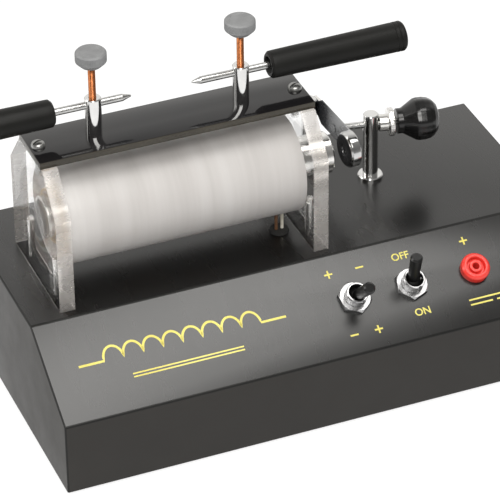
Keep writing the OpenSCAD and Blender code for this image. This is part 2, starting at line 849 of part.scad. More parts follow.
// The contact: a round pad on the screw's side, riveted through the reed.
module contact_rivet() {
    color("#303234") on_reed() at_contact() {
        bar_x(-rivet_tail_h, 0, rivet_d / 2);
        bar_x(-slit, reed_t + slit, rivet_d / 4);
        bar_x(reed_t, reed_t + rivet_h, rivet_d / 2);
    }
}

module at_reed_screws() {
    on_reed() for (s = [-1, 1])
        translate([0, reed_post_back, s * reed_w1 * 0.28]) children();
}

module root_outline() {
    translate([reed_post_back, 0]) square([reed_root_l, reed_w1], center = true);
}

module reed_root() {
    color("#4c5052") difference() {
        on_reed() along_x(0, reed_t) root_outline();
        at_reed_screws() bar_x(-1, reed_t + 1, reed_screw_d / 2 + nest_play);
    }
}

module reed_clamp_plate() {
    x0 = reed_t;
    color("#c8c8c8") difference() {
        on_reed() along_x(x0, x0 + clamp_plate_t) root_outline();
        at_reed_screws() bar_x(x0 - 1, x0 + clamp_plate_t + 1, reed_screw_d / 2 + nest_play);
    }
}

module reed_clamp_screws() {
    x0 = reed_t + clamp_plate_t;
    into = 5;
    color("silver") at_reed_screws() translate([x0, 0, 0]) rotate([0, 90, 0])
        dome_screw(reed_screw_d, clamp_plate_t + reed_t + into, 1.8 * reed_screw_d, 1.3);
}

// A flat is milled down from the post's top for the reed to lie against.
module reed_post() {
    flat_h = reed_w1 + 2;
    color("#d0d0d0") difference() {
        at_reed_post() pillar_blank(reed_post_h, 0);
        on_reed() translate([0, reed_post_back - pillar_d, -flat_h / 2])
            cube([pillar_d, 2 * pillar_d, reed_post_h]);
        at_reed_screws() bar_x(-6, 1, reed_screw_d / 2 + nest_play);
    }
}

// A round pillar that stands on the deck, with a stud through it.
module pillar_blank(h, lift) {
    stud_l = wall + stud_nut_t + 2;
    r = pillar_d / 2;
    edge = 0.5;
    translate([0, 0, deck_z]) rotate_extrude() polygon([
        [0, -stud_l], [pillar_stud_d / 2, -stud_l], [pillar_stud_d / 2, lift], [r, lift],
        [r, h - edge], [r - edge, h], [0, h]
    ]);
}

module contact_pillar() {
    color("#d0d0d0") difference() {
        at_contact_pillar() pillar_blank(pillar_h, collar_t);
        on_contact() bar_x(-pillar_d, pillar_d, contact_d / 2 + shaft_play);
    }
}

module pillar_collar() {
    edge = 0.5;
    r = collar_d / 2;
    color("#d8d8d8") at_contact_pillar() translate([0, 0, deck_z]) difference() {
        rotate_extrude() polygon([
            [0, 0], [r, 0], [r, collar_t - edge], [r - edge, collar_t], [0, collar_t]
        ]);
        hole(collar_t, pillar_stud_d + 2 * nest_play);
    }
}

module pillar_nuts() {
    color("silver") translate([0, 0, deck_z - wall - stud_nut_t]) at_pillars()
        hex_nut(stud_nut_af, stud_nut_t, pillar_stud_d + 2 * nest_play);
}

// The screw's point ends just short of the rivet; its other end is held in the knob.
module contact_screw() {
    cone = 2;
    color("#d0d0d0") on_contact() rotate([0, 90, 0]) rotate_extrude() polygon([
        [0, -contact_end], [contact_tip_r, -contact_end], [contact_d / 2, -contact_end + cone],
        [contact_d / 2, knob_screw_end], [0, knob_screw_end]
    ]);
}

module locking_nut() {
    x1 = lock_x + lock_hub_l;
    x2 = x1 + lock_rim_t;
    edge = 0.5;
    color("#d8d8d8") on_contact() difference() {
        rotate([0, 90, 0]) rotate_extrude() polygon([
            [0, lock_x], [lock_hub_d / 2, lock_x], [lock_hub_d / 2, x1], [lock_rim_d / 2 - edge, x1],
            [lock_rim_d / 2, x1 + edge], [lock_rim_d / 2, x2 - edge], [lock_rim_d / 2 - edge, x2], [0, x2]
        ]);
        bar_x(0, x2 + 1, contact_d / 2 + shaft_play);
    }
}

// The knob flares from its neck to a broad, well rounded end.
module contact_knob() {
    round_r = 8.2;
    r = knob_d / 2;
    flare = knob_l * 0.43;
    neck = knob_l * 0.14;
    color("#151515") on_contact() difference() {
        translate([knob_x, 0, 0]) rotate([0, 90, 0]) rotate_extrude() polygon(concat(
            [[0, 0], [knob_neck_d / 2, 0], [knob_neck_d / 2, neck], [r - 0.4, flare], [r, flare + 1.6]],
            [for (a = [0:10:90]) [r - round_r + round_r * cos(a), knob_l - round_r + round_r * sin(a)]],
            [[0, knob_l]]
        ));
        bar_x(knob_x - 1, knob_screw_end + nest_play, contact_d / 2 + nest_play);
    }
}

// ---------------------------------------------------------------- front panel

module switch_body() {
    edge = 1.2;
    color("#7d1f1c") translate([-switch_w / 2, -switch_l / 2, -wall - switch_h]) difference() {
        cube([switch_w, switch_l, switch_h]);
        translate([switch_w / 2, switch_l / 2, switch_h - bush_root])
            cylinder(h = bush_root + 1, d = bush_bore);
    }
    color("silver") for (sx = [-1, 1], sy = [-1, 0, 1])
        translate([sx * switch_w * 0.28 - 0.4, sy * switch_l * 0.3 - edge, -wall - switch_h - 5])
            cube([0.8, 2 * edge, 5 + slit]);
}

bush_root = 4;                  // depth of the lever's space inside the switch body

module switch_bush() {
    key_w = 1.8;
    color("silver") difference() {
        translate([0, 0, -wall]) rotate_extrude() polygon([
            [0, 0], [bush_d / 2, 0], [bush_d / 2, wall + bush_out - 0.4],
            [bush_d / 2 - 0.4, wall + bush_out], [0, wall + bush_out]
        ]);
        translate([0, 0, -wall - 1]) cylinder(h = wall + bush_out + 2, d = bush_bore);
        translate([-key_w / 2, -bush_d, nut_t + 0.3]) cube([key_w, bush_d - bush_bore / 2 - 0.3, bush_out]);
        translate([0, 0, pivot_z]) bar_x(-bush_d, bush_d, pivot_pin_d / 2 + nest_play);
    }
}

module switch_nut(turn) {
    color("#d8d8d8") rotate([0, 0, turn]) hex_nut(nut_af, nut_t, bush_d + 2 * nest_play);
}

// The lever swings about the pin along local X; tilt is positive up the slope.
module switch_lever(tilt) {
    tail = 7;
    end_r = 1;
    r = lever_d / 2;
    neck_z = ball_r * 0.75;
    color("#191919") translate([0, 0, pivot_z]) rotate([-tilt, 0, 0]) difference() {
        union() {
            sphere(r = ball_r);
            rotate_extrude() polygon([
                [0, neck_z], [r * 0.88, neck_z], [r, lever_l - end_r], [r - end_r, lever_l], [0, lever_l]
            ]);
            translate([0, 0, -tail - 1]) cylinder(h = tail + 1, r = 1.2);
        }
        bar_x(-ball_r - 1, ball_r + 1, pivot_pin_d / 2 + shaft_play);
    }
}

module lever_pivot_pins() {
    half = bush_d / 2 - 0.1;
    color("silver") for (x = [reversing_x, onoff_x])
        on_switch(x) translate([0, 0, pivot_z]) bar_x(-half, half, pivot_pin_d / 2);
}

module reversing_switch_body() { on_switch(reversing_x) switch_body(); }
module reversing_switch_bush() { on_switch(reversing_x) switch_bush(); }
module reversing_switch_nut() { on_switch(reversing_x) switch_nut(reversing_nut_turn); }
module reversing_switch_lever() { on_switch(reversing_x) switch_lever(-lever_tilt); }
module onoff_switch_body() { on_switch(onoff_x) switch_body(); }
module onoff_switch_bush() { on_switch(onoff_x) switch_bush(); }
module onoff_switch_nut() { on_switch(onoff_x) switch_nut(onoff_nut_turn); }
module onoff_switch_lever() { on_switch(onoff_x) switch_lever(lever_tilt); }

socket_nut_t = 3;
socket_neck_l = wall + socket_nut_t + 3;

// A socket's plastic head: a ring with a round groove, a boss in its middle, and a neck.
module socket_head() {
    r = socket_d / 2;
    groove_out = r * 0.62;
    groove_in = socket_tube_d / 2 + 0.7;
    groove_depth = socket_h * 0.6;
    edge = 1.2;
    difference() {
        rotate_extrude() polygon([
            [0, -socket_neck_l], [socket_neck_d / 2, -socket_neck_l], [socket_neck_d / 2, 0], [r, 0],
            [r, socket_h - edge], [r - 0.35 * edge, socket_h - 0.35 * edge], [r - edge, socket_h],
            [groove_out, socket_h], [groove_out, socket_h - groove_depth],
            [groove_in, socket_h - groove_depth], [groove_in, socket_h - 0.6], [0, socket_h - 0.6]
        ]);
        translate([0, 0, -socket_neck_l]) hole(socket_neck_l + socket_h, socket_tube_d + 2 * nest_play);
    }
}

module red_socket() { color("#e0241c") on_panel(socket_x) socket_head(); }
module black_socket() { color("#1a1a1a") on_panel(black_x) socket_head(); }

module socket_tubes() {
    mouth = socket_h - 0.8;
    end_t = 2;
    color("#b9a24a") for (x = [socket_x, black_x]) on_panel(x) difference() {
        translate([0, 0, mouth - socket_depth - end_t]) cylinder(h = socket_depth + end_t, d = socket_tube_d);
        translate([0, 0, mouth - socket_depth]) cylinder(h = socket_depth + 1, d = socket_bore);
    }
}

module socket_nuts() {
    color("silver") for (x = [socket_x, black_x])
        on_panel(x) translate([0, 0, -wall - socket_nut_t])
            hex_nut(socket_neck_d + 4, socket_nut_t, socket_neck_d + 2 * nest_play);
}

// ---------------------------------------------------------------- inside the console

module at_strap_screws() {
    for (s = [-1, 1])
        translate([0, s * (capacitor_w / 2 + 6), 0]) children();
}

module capacitor() {
    color("#c9a227") translate([capacitor_x, capacitor_y, plate_top]) {
        translate([-capacitor_l / 2, -capacitor_w / 2, 0]) cube([capacitor_l, capacitor_w, capacitor_h]);
        for (s = [-1, 1])
            translate([s * capacitor_l * 0.35, 0, capacitor_h - slit]) cylinder(h = 5, d = 1.2);
    }
}

module capacitor_strap() {
    foot_l = 11;
    inner = capacitor_w / 2 + 0.1;
    outer = inner + strap_t;
    top = capacitor_h + 0.1;
    color("silver") translate([capacitor_x, capacitor_y, plate_top]) difference() {
        along_x(-strap_w / 2, strap_w / 2) polygon([
            [-inner - foot_l, 0], [-inner - foot_l, strap_t], [-outer, strap_t], [-outer, top + strap_t],
            [outer, top + strap_t], [outer, strap_t], [inner + foot_l, strap_t], [inner + foot_l, 0],
            [inner, 0], [inner, top], [-inner, top], [-inner, 0]
        ]);
        at_strap_screws() hole(strap_t, plate_screw_d + 2 * screw_play);
    }
}

module strap_screws() {
    color("silver") translate([capacitor_x, capacitor_y, plate_top + strap_t]) at_strap_screws()
        dome_screw(plate_screw_d, strap_t + plate_t - 0.2, 1.8 * plate_screw_d, 2);
}

console_shell();
base_plate();
base_plate_screws();
rubber_feet();
left_end_cheek();
right_end_cheek();
cheek_screws();
bridge_plate();
bridge_screws();
coil_sleeve();
coil_end_discs();
secondary_winding();
insulating_tube();
primary_winding();
iron_core();
core_cap();
primary_leads();
lead_grommet();
secondary_leads();
post_nuts();
left_post();
left_rod();
left_handle();
left_clamp_screw();
left_clamp_head();
right_post();
right_rod();
right_handle();
right_clamp_screw();
right_clamp_head();
hammer();
hammer_rivet();
reed();
contact_rivet();
reed_root();
reed_clamp_plate();
reed_clamp_screws();
reed_post();
contact_pillar();
pillar_collar();
pillar_nuts();
contact_screw();
contact_knob();
locking_nut();
reversing_switch_body();
reversing_switch_bush();
reversing_switch_nut();
reversing_switch_lever();
onoff_switch_body();
onoff_switch_bush();
onoff_switch_nut();
onoff_switch_lever();
lever_pivot_pins();
red_socket();
black_socket();
socket_tubes();
socket_nuts();
capacitor();
capacitor_strap();
strap_screws();
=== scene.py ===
# The looks of the induction coil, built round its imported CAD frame. Lengths are in mm, and piece() turns
# them into metres. Only materials, the stage and the camera hold metres of their own, and say so.

import math

import bmesh
import bpy
from mathutils import Matrix, Vector


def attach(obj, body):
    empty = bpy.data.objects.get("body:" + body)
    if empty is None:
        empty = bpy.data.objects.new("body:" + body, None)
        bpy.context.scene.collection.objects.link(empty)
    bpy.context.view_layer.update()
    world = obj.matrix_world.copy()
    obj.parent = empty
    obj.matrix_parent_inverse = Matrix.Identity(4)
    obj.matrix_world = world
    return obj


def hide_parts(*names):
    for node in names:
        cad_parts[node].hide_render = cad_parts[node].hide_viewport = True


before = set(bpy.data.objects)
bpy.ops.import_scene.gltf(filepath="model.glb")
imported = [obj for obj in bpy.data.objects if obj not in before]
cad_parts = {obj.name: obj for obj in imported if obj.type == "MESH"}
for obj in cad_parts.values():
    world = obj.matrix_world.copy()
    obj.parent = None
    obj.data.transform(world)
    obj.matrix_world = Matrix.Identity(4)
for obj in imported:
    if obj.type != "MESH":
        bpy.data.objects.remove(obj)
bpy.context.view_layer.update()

MM = 0.001

# ------------------------------------------------------------------ sizes, in mm

# Console: half its length and depth, and its heights. RIM_Z is its walls' lower edge over the table.
X_SIDE, Y_SIDE = 150.0, 80.0
RIM_Z, FRONT_H, CONSOLE_H = 1.2, 42.0, 73.5
PANEL_RUN, WALL, FOLD_R = 49.5, 3.0, 0.9
DECK_Z, FRONT_Z = RIM_Z + CONSOLE_H, RIM_Z + FRONT_H
PANEL = math.atan2(CONSOLE_H - FRONT_H, PANEL_RUN)
PLATE_TOP = 5.0
BOSS_INSET, BOSS_R, BOSS_HOLE_R = 9.0, 5.0, 1.85
FRONT_BOSS_TOP, BACK_BOSS_TOP = FRONT_Z + 0.8, DECK_Z - 1
M4_HOLE_R, M5_HOLE_R, LEAD_HOLE_R = 2.1, 2.6, 4.5
OVERSHOOT = 1.0  # how far a cutting tool stands out of what it cuts

# Coil unit
COIL_X, COIL_Y, COIL_L = -55.6, 10.3, 135.1
AXIS_Z = DECK_Z + 37.0
COIL_LEFT, COIL_RIGHT = COIL_X - COIL_L / 2, COIL_X + COIL_L / 2
SLEEVE_R, SLEEVE_T, SLEEVE_LAP = 27.0, 1.0, 3.0
LEADS_X, LEADS_Y, LEAD_PITCH, LEAD_R = COIL_RIGHT - 9, COIL_Y - 9, 3.4, 1.0
CHEEK_T, CHEEK_HALF, CHEEK_TOP_HALF, SHOULDER_H = 8.5, 35.75, 18.25, 55.8
CHEEK_TOP = DECK_Z + 77.2
CHEEK_XS = (COIL_LEFT - CHEEK_T / 2, COIL_RIGHT + CHEEK_T / 2)
CHEEK_SCREW_YS = (COIL_Y - 20, COIL_Y + 20)
CHEEK_SCREW_DEPTH, BRIDGE_SCREW_DEPTH = 25, 13
SEAT_R, SEAT_DEPTH = 11.6, 4
BRIDGE_TOP, BRIDGE_HALF, BRIDGE_OVERHANG = CHEEK_TOP + 4.0, 16.3, 0.6
CHEEK_EDGE_R, BRIDGE_EDGE_R = 0.3, 0.4
DOME_R, DOME_EDGE, DOME_RISE, DOME_SLOT_TURN = 3.8, 0.9, 2.3, 20
DOME_SLOT = ((-5, -0.5, 1.9), (5, 0.5, 5))  # lowest and highest corner of what is cut away

# Spark gap
POST_LEFT, POST_RIGHT = COIL_X - 41.1, COIL_X + 41.1
TAG_Y, TAG_R = COIL_Y + 7.5, 1.0
ROD_Z, ROD_R, ROD_L = BRIDGE_TOP + 18.1, 2.0, 103.1
GRIP_START = 43.1  # from the rod's tip
CLAMP_HEAD_Z, CLAMP_SEAT_H = BRIDGE_TOP + 40.6, 5.46
SCREW_R, THREAD_PITCH, CLAMP_GAP = 2.0, 0.7, 0.05  # the gap is between the rod and the screw's foot
SPARK_SIDES = (("left", POST_LEFT, 1, 21.0), ("right", POST_RIGHT, -1, 27.5))  # the rod's sign and reach

# Interrupter
CAP_END = COIL_RIGHT + CHEEK_T + 14.5
REED_Z = DECK_Z + 35.5
HAMMER_X, HAMMER_T = CAP_END + 9.8, 6.0
REED_X, REED_T, REED_TURN = HAMMER_X + HAMMER_T, 0.8, math.radians(3)
REED_POST_X, REED_POST_Y = 47.05, 58.0
PILLAR_X, PILLAR_Y, PILLAR_TURN = REED_X + REED_T + 18.3, COIL_Y + 20.9, math.radians(-11.5)
CONTACT_Z, CONTACT_END = DECK_Z + 33.8, 18.74
CONTACT_TIP = (0.7, 2.0)  # radius and length of the screw's point
KNOB_START, KNOB_L, SCREW_IN_KNOB = 14.15, 23.5, 0.55  # the last is a share of the knob's length

# Front panel: places along the console, and s up the slope from its lower fold.
ROW_S = 30.9
SWITCHES, SOCKETS = (23.0, 56.1), (93.3, 118.7)
BUSH_HOLE_R, SOCKET_HOLE_R = 6.1, 4.6

# Printed marks, each at (x, s)
INK_T, LETTER_H = 0.06, 4.2
COIL_MARK, CORE_MARK, DIRECT_MARK = (-74.4, 34.0), (-75, 19.0), (sum(SOCKETS) / 2, 12.9)
OFF_MARK, ON_MARK = (56.0, 48.0), (57.0, 14.6)
COIL_TURNS, COIL_PITCH, COIL_RISE, COIL_FOOT, COIL_TAIL = 8, 11.0, 7.4, -3.5, 14
COIL_WIDTH, CORE_WIDTH, DIRECT_WIDTH, SIGN_WIDTH = 1.3, 0.8, 0.9, 0.95
CORE_HALF, CORE_GAP, DIRECT_HALF, DIRECT_GAP, DASH_HALF, DASH_STEP = 31, 1.8, 22, 2.8, 6.5, 15.5
SIGN_HALF = 2.3
SIGNS = (
    ("plus", 14, 47.5), ("minus", 32, 47.5), ("minus", 16, 11), ("plus", 30, 11),
    ("plus", SOCKETS[0], 48.2), ("minus", SOCKETS[1], 48.2),
)

# ------------------------------------------------------------------ places


def shift(x, y, z):
    return Matrix.Translation((x, y, z))


def turn(degrees, axis):
    return Matrix.Rotation(math.radians(degrees), 4, axis)


def on_panel(x, s=ROW_S):
    """Local x along the console, y up the slope, z square to the slope."""
    return shift(x, -Y_SIDE, FRONT_Z) @ Matrix.Rotation(PANEL, 4, "X") @ shift(0, s, 0)


TO_X = turn(90, "Y")  # local z becomes +X
TO_MINUS_X = turn(-90, "Y")
ON_AXIS = shift(0, COIL_Y, AXIS_Z)
ON_REED = shift(REED_X, COIL_Y, REED_Z) @ Matrix.Rotation(REED_TURN, 4, "Z")
ON_CONTACT = shift(PILLAR_X, PILLAR_Y, CONTACT_Z) @ Matrix.Rotation(PILLAR_TURN, 4, "Z")

# ------------------------------------------------------------------ shader nodes


def add_node(tree, kind, sockets, **settings):
    """Adds a shader node. Each socket takes a value, or a link from another node's socket."""
    node = tree.nodes.new("ShaderNode" + kind)
    for key, value in settings.items():
        setattr(node, key, value)
    for key, value in sockets.items():
        if isinstance(value, bpy.types.NodeSocket):
            tree.links.new(value, node.inputs[key])
        else:
            node.inputs[key].default_value = value
    return node


def add_ramp(tree, factor, stops):
    """A colour ramp through (position, (red, green, blue)) stops."""
    node = add_node(tree, "ValToRGB", {"Fac": factor})
    elements = node.color_ramp.elements
    while len(elements) < len(stops):
        elements.new(0.5)
    for i, (position, colour) in enumerate(stops):
        elements[i].position = position
        elements[i].color = (*colour, 1)
    return node.outputs["Color"]


def add_mix(tree, factor, a, b):
    """Mixes two colours, each a socket or a tuple of red, green and blue."""
    a, b = ((*colour, 1) if isinstance(colour, tuple) else colour for colour in (a, b))
    return add_node(tree, "Mix", {0: factor, 6: a, 7: b}, data_type="RGBA").outputs[2]


class Maker:
    """Builds a material's node tree in short lines. Patterns lie in the object's own metres."""

    def __init__(self, name, **sockets):
        self.material = bpy.data.materials.new(name)
        self.material.use_nodes = True
        self.tree = self.material.node_tree
        self.shader = self.tree.nodes["Principled BSDF"]
        self.coord = add_node(self.tree, "TexCoord", {}).outputs["Object"]
        for key, value in sockets.items():
            self.shader.inputs[key.replace("_", " ")].default_value = value

    def mapped(self, stretch=(1, 1, 1), place=(0, 0, 0)):
        sockets = {"Scale": stretch, "Location": place, "Vector": self.coord}
        return add_node(self.tree, "Mapping", sockets).outputs[0]

    def noise(self, scale, detail=3.0, rough=0.55, stretch=(1, 1, 1), place=(0, 0, 0)):
        at = self.mapped(stretch, place)
        sockets = {"Scale": scale, "Detail": detail, "Roughness": rough, "Vector": at}
        return add_node(self.tree, "TexNoise", sockets).outputs["Fac"]

    def wave(self, scale):
        return add_node(self.tree, "TexWave", {"Scale": scale, "Vector": self.mapped()}).outputs["Fac"]

    def axes(self):
        return add_node(self.tree, "SeparateXYZ", {0: self.coord}).outputs

    def ramp(self, factor, *stops):
        return add_ramp(self.tree, factor, stops)

    def shade(self, pattern, dark, light, low=0.3, high=0.7):
        """A pattern drawn in two tones."""
        return self.ramp(pattern, (low, dark), (high, light))

    def span(self, value, low, high, from_low=0.3, from_high=0.7):
        sockets = {"From Min": from_low, "From Max": from_high, "To Min": low, "To Max": high, "Value": value}
        return add_node(self.tree, "MapRange", sockets).outputs["Result"]

    def math(self, operation, *values):
        return add_node(self.tree, "Math", dict(enumerate(values)), operation=operation).outputs[0]

    def mix(self, factor, a, b):
        return add_mix(self.tree, factor, a, b)

    def colour(self, socket):
        self.tree.links.new(socket, self.shader.inputs["Base Color"])

    def rough(self, socket):
        self.tree.links.new(socket, self.shader.inputs["Roughness"])

    def bump(self, height, depth_mm):
        """Adds relief, on top of any relief that is there already."""
        normal = self.shader.inputs["Normal"]
        sockets = {"Strength": 1.0, "Distance": depth_mm * MM, "Height": height}
        if normal.links:
            sockets["Normal"] = normal.links[0].from_socket
        self.tree.links.new(add_node(self.tree, "Bump", sockets).outputs["Normal"], normal)


# ------------------------------------------------------------------ materials

PLASTIC_IOR, ACRYLIC_IOR, FILM_IOR = 1.5, 1.49, 1.45


def plastic(name, dark, light, rough, grain=900, bump=0.02, spec=0.5):
    look = Maker(name, IOR=PLASTIC_IOR, Specular_IOR_Level=spec)
    look.colour(look.shade(look.noise(28, 4), dark, light))
    look.rough(look.span(look.noise(60, 5), *rough))
    look.bump(look.noise(grain, 2), bump)
    return look


def metal(name, dark, light, rough, scale=90, bump=0.004):
    look = Maker(name, Metallic=1.0)
    look.colour(look.shade(look.noise(scale, 4), dark, light))
    look.rough(look.span(look.noise(scale * 2.3, 5, 0.7), *rough))
    look.bump(look.noise(scale * 8, 2), bump)
    return look


def console_plastic():
    """The housing's glossy black top. Its walls are duller and finely grained: see console_wall."""
    look = Maker("console_plastic", IOR=PLASTIC_IOR, Specular_IOR_Level=0.66)
    look.colour(look.shade(look.noise(7, 3), (0.0012, 0.0011, 0.001), (0.0022, 0.0021, 0.0018)))
    look.rough(look.span(look.noise(14, 3, 0.6, (5, 1, 1)), 0.265, 0.285))
    look.bump(look.noise(1500, 2), 0.002)
    return look


def bridge_black():
    look = Maker("bridge_black", IOR=PLASTIC_IOR)
    look.colour(look.shade(look.noise(16, 4), (0.006, 0.006, 0.007), (0.011, 0.010, 0.010), low=0.35))
    look.rough(look.span(look.noise(45, 5, 0.7), 0.05, 0.12))
    look.bump(look.noise(22, 2), 0.003)
    return look


def bridge_edge():
    """The bridge's sawn sides: browner and duller than its polished top."""
    look = Maker("bridge_edge", IOR=PLASTIC_IOR)
    look.colour(look.shade(look.noise(40, 4), (0.020, 0.016, 0.009), (0.034, 0.028, 0.017)))
    look.rough(look.span(look.noise(70, 5, 0.7, (1, 6, 6)), 0.2, 0.34))
    look.bump(look.noise(180, 2, 0.5, (0.3, 4, 4)), 0.01)
    return look


def clear_acrylic():
    look = Maker("clear_acrylic", Transmission_Weight=1.0, IOR=ACRYLIC_IOR, Alpha=0.22)
    look.colour(look.shade(look.noise(12, 3), (0.97, 0.965, 0.95), (0.99, 0.985, 0.975)))
    look.rough(look.span(look.noise(120, 6, 0.75), 0.0, 0.05, 0.5, 0.8))
    return look


def sawn_acrylic():
    """The cheeks' sawn edges: frosted, with the saw's marks across the thickness."""
    look = Maker("acrylic_sawn_edge", Transmission_Weight=0.62, IOR=ACRYLIC_IOR, Alpha=0.82)
    frost = look.noise(22, 3, 0.5, (0.5, 1, 1))
    look.colour(look.shade(frost, (0.58, 0.54, 0.505), (0.84, 0.81, 0.785), 0.34, 0.66))
    look.rough(look.span(look.noise(70, 5, 0.7, (1, 3, 3)), 0.16, 0.38))
    look.bump(look.noise(60, 2, 0.5, (0.4, 2, 2)), 0.012)
    return look


def sleeve_silver():
    """Satin silver-white film with faint streaks round it and a few brown stains low down."""
    look = Maker("sleeve_silver", IOR=FILM_IOR, Specular_IOR_Level=0.35)
    streaks = look.noise(9, 4, 0.6, (9, 0.5, 0.5))
    dark, middle, light = (0.425, 0.406, 0.395), (0.47, 0.453, 0.442), (0.51, 0.495, 0.485)
    film = look.ramp(streaks, (0.3, dark), (0.5, middle), (0.72, light))
    stains = look.span(look.noise(20, 4, 0.6, (1, 1.6, 1.6), (0.3, 0.1, 0.7)), 0.0, 0.6, 0.5, 0.68)
    low_down = look.span(look.axes()[2], 1.0, 0.0, 0.092, 0.112)  # heights in metres
    look.colour(look.mix(look.math("MULTIPLY", stains, low_down), film, (0.38, 0.27, 0.22)))
    look.rough(look.span(look.noise(60, 3, 0.6, (8, 0.3, 0.3)), 0.4, 0.52))
    look.bump(look.noise(38, 3, 0.5, (6, 1, 1)), 0.05)
    return look


def winding_varnish():
    """Varnished winding: pinkish-grey end faces with dark specks where they meet the disc."""
    look = Maker("winding_varnish", IOR=PLASTIC_IOR)
    axes = look.axes()
    dy = look.math("SUBTRACT", axes[1], COIL_Y * MM)
    dz = look.math("SUBTRACT", axes[2], AXIS_Z * MM)
    squares = [look.math("MULTIPLY", d, d) for d in (dy, dz)]
    radius = look.math("SQRT", look.math("ADD", *squares))
    near_disc = look.span(radius, 1.0, 0.0, 0.0186, 0.0204)  # radii in metres
    specks = look.math("MULTIPLY", look.span(look.noise(420, 3, 0.7), 0.0, 1.0, 0.42, 0.55), near_disc)
    lacquer = look.shade(look.noise(60, 4), (0.40, 0.31, 0.28), (0.56, 0.47, 0.43))
    look.colour(look.mix(specks, lacquer, (0.03, 0.022, 0.016)))
    look.rough(look.span(look.noise(150, 4), 0.35, 0.55))
    look.bump(look.noise(220, 3), 0.04)
    return look


def copper_wire():
    look = metal("copper_wire", (0.42, 0.15, 0.06), (0.6, 0.24, 0.1), (0.25, 0.4))
    look.bump(look.wave(420), 0.3)
    return look


def core_iron():
    look = metal("core_iron", (0.18, 0.17, 0.16), (0.32, 0.31, 0.3), (0.4, 0.6))
    look.bump(look.noise(300, 3), 0.1)
    return look


def lead_insulation():
    """One lead is brown and the other off-white: they lie left and right of LEADS_X."""
    look = Maker("lead_insulation", IOR=PLASTIC_IOR)
    brown = look.shade(look.noise(200, 3), (0.13, 0.06, 0.03), (0.2, 0.1, 0.05))
    pale = look.shade(look.noise(200, 3), (0.66, 0.62, 0.52), (0.8, 0.77, 0.68))
    right = look.span(look.axes()[0], 0, 1, (LEADS_X - 0.01) * MM, (LEADS_X + 0.01) * MM)
    look.colour(look.mix(right, brown, pale))
    look.rough(look.span(look.noise(300, 3), 0.35, 0.5))
    return look


def reed_steel():
    """Spring steel, dark towards its clamp, with a painted reflection that makes it bright at the hammer."""
    look = Maker("reed_steel", Metallic=0.5)
    # bright paints a reflection of the hammer's rim, fading out towards the clamp
    bright = look.shade(look.noise(60, 4), (0.40, 0.405, 0.41), (0.52, 0.525, 0.53))
    clamp_end_dark = look.shade(look.noise(60, 4), (0.022, 0.023, 0.027), (0.04, 0.042, 0.048))
    look.colour(look.mix(look.span(look.axes()[1], 0, 1, 0.014, 0.044), bright, clamp_end_dark))  # places in metres
    look.rough(look.span(look.noise(90, 5, 0.7, (1, 1, 4)), 0.2, 0.32))
    return look


def head_aluminium():
    look = Maker("head_aluminium", Metallic=0.3, Specular_IOR_Level=0.35)
    look.colour(look.shade(look.noise(150, 4), (0.185, 0.188, 0.192), (0.24, 0.244, 0.248)))
    look.rough(look.span(look.noise(400, 4, 0.7), 0.58, 0.72))
    look.bump(look.noise(900, 3), 0.04)
    return look


def handle_black():
    """Matt black plastic with a faint relief that is drawn out along the handle."""
    dark, light = (0.0035, 0.0035, 0.003), (0.0065, 0.0065, 0.0055)
    look = plastic("handle_black", dark, light, (0.42, 0.52), grain=700, bump=0.04, spec=0.2)
    look.bump(look.noise(50, 2, 0.5, (0.6, 3, 3)), 0.1)
    return look


def plain_plastics():
    """Each has a name, a dark and a light tone, its roughness, and what differs from the usual grain."""
    walls = (0.0095, 0.0078, 0.0058), (0.0135, 0.0115, 0.009), (0.38, 0.46)
    folds = (0.004, 0.004, 0.004), (0.008, 0.008, 0.007), (0.42, 0.5)
    feet = (0.012, 0.012, 0.012), (0.022, 0.022, 0.021), (0.75, 0.9)
    black = (0.002, 0.002, 0.002), (0.004, 0.004, 0.004)
    return {
        "wall": plastic("console_wall", *walls, grain=1400, bump=0.008, spec=0.42),
        "fold": plastic("console_fold", *folds, bump=0.004, spec=0.3),
        "plate": plastic("plate_grey", (0.03, 0.03, 0.029), (0.045, 0.045, 0.043), (0.5, 0.62), bump=0.03),
        "rubber": plastic("foot_rubber", *feet, bump=0.06, spec=0.3),
        "disc": plastic("disc_cream", (0.76, 0.73, 0.63), (0.88, 0.86, 0.78), (0.5, 0.65), 400, 0.05),
        "tube": plastic("tube_tan", (0.36, 0.25, 0.13), (0.52, 0.38, 0.22), (0.55, 0.7), 300, 0.08),
        "knob": plastic("knob_black", *black, (0.2, 0.28), bump=0.01),
        "lever": plastic("lever_black", *black, (0.28, 0.38)),
        "body": plastic("switch_body_red", (0.2, 0.02, 0.015), (0.3, 0.035, 0.028), (0.35, 0.45)),
        "red": plastic("socket_red", (0.70, 0.035, 0.025), (0.82, 0.055, 0.042), (0.22, 0.32), bump=0.015),
        "black": plastic("socket_black", (0.01, 0.01, 0.01), (0.018, 0.018, 0.017), (0.22, 0.32), bump=0.015),
        "capacitor": plastic("capacitor_yellow", (0.62, 0.42, 0.06), (0.74, 0.52, 0.1), (0.3, 0.4)),
        "ink": plastic("ink_yellow", (0.62, 0.53, 0.085), (0.76, 0.69, 0.17), (0.4, 0.55), grain=700),
    }


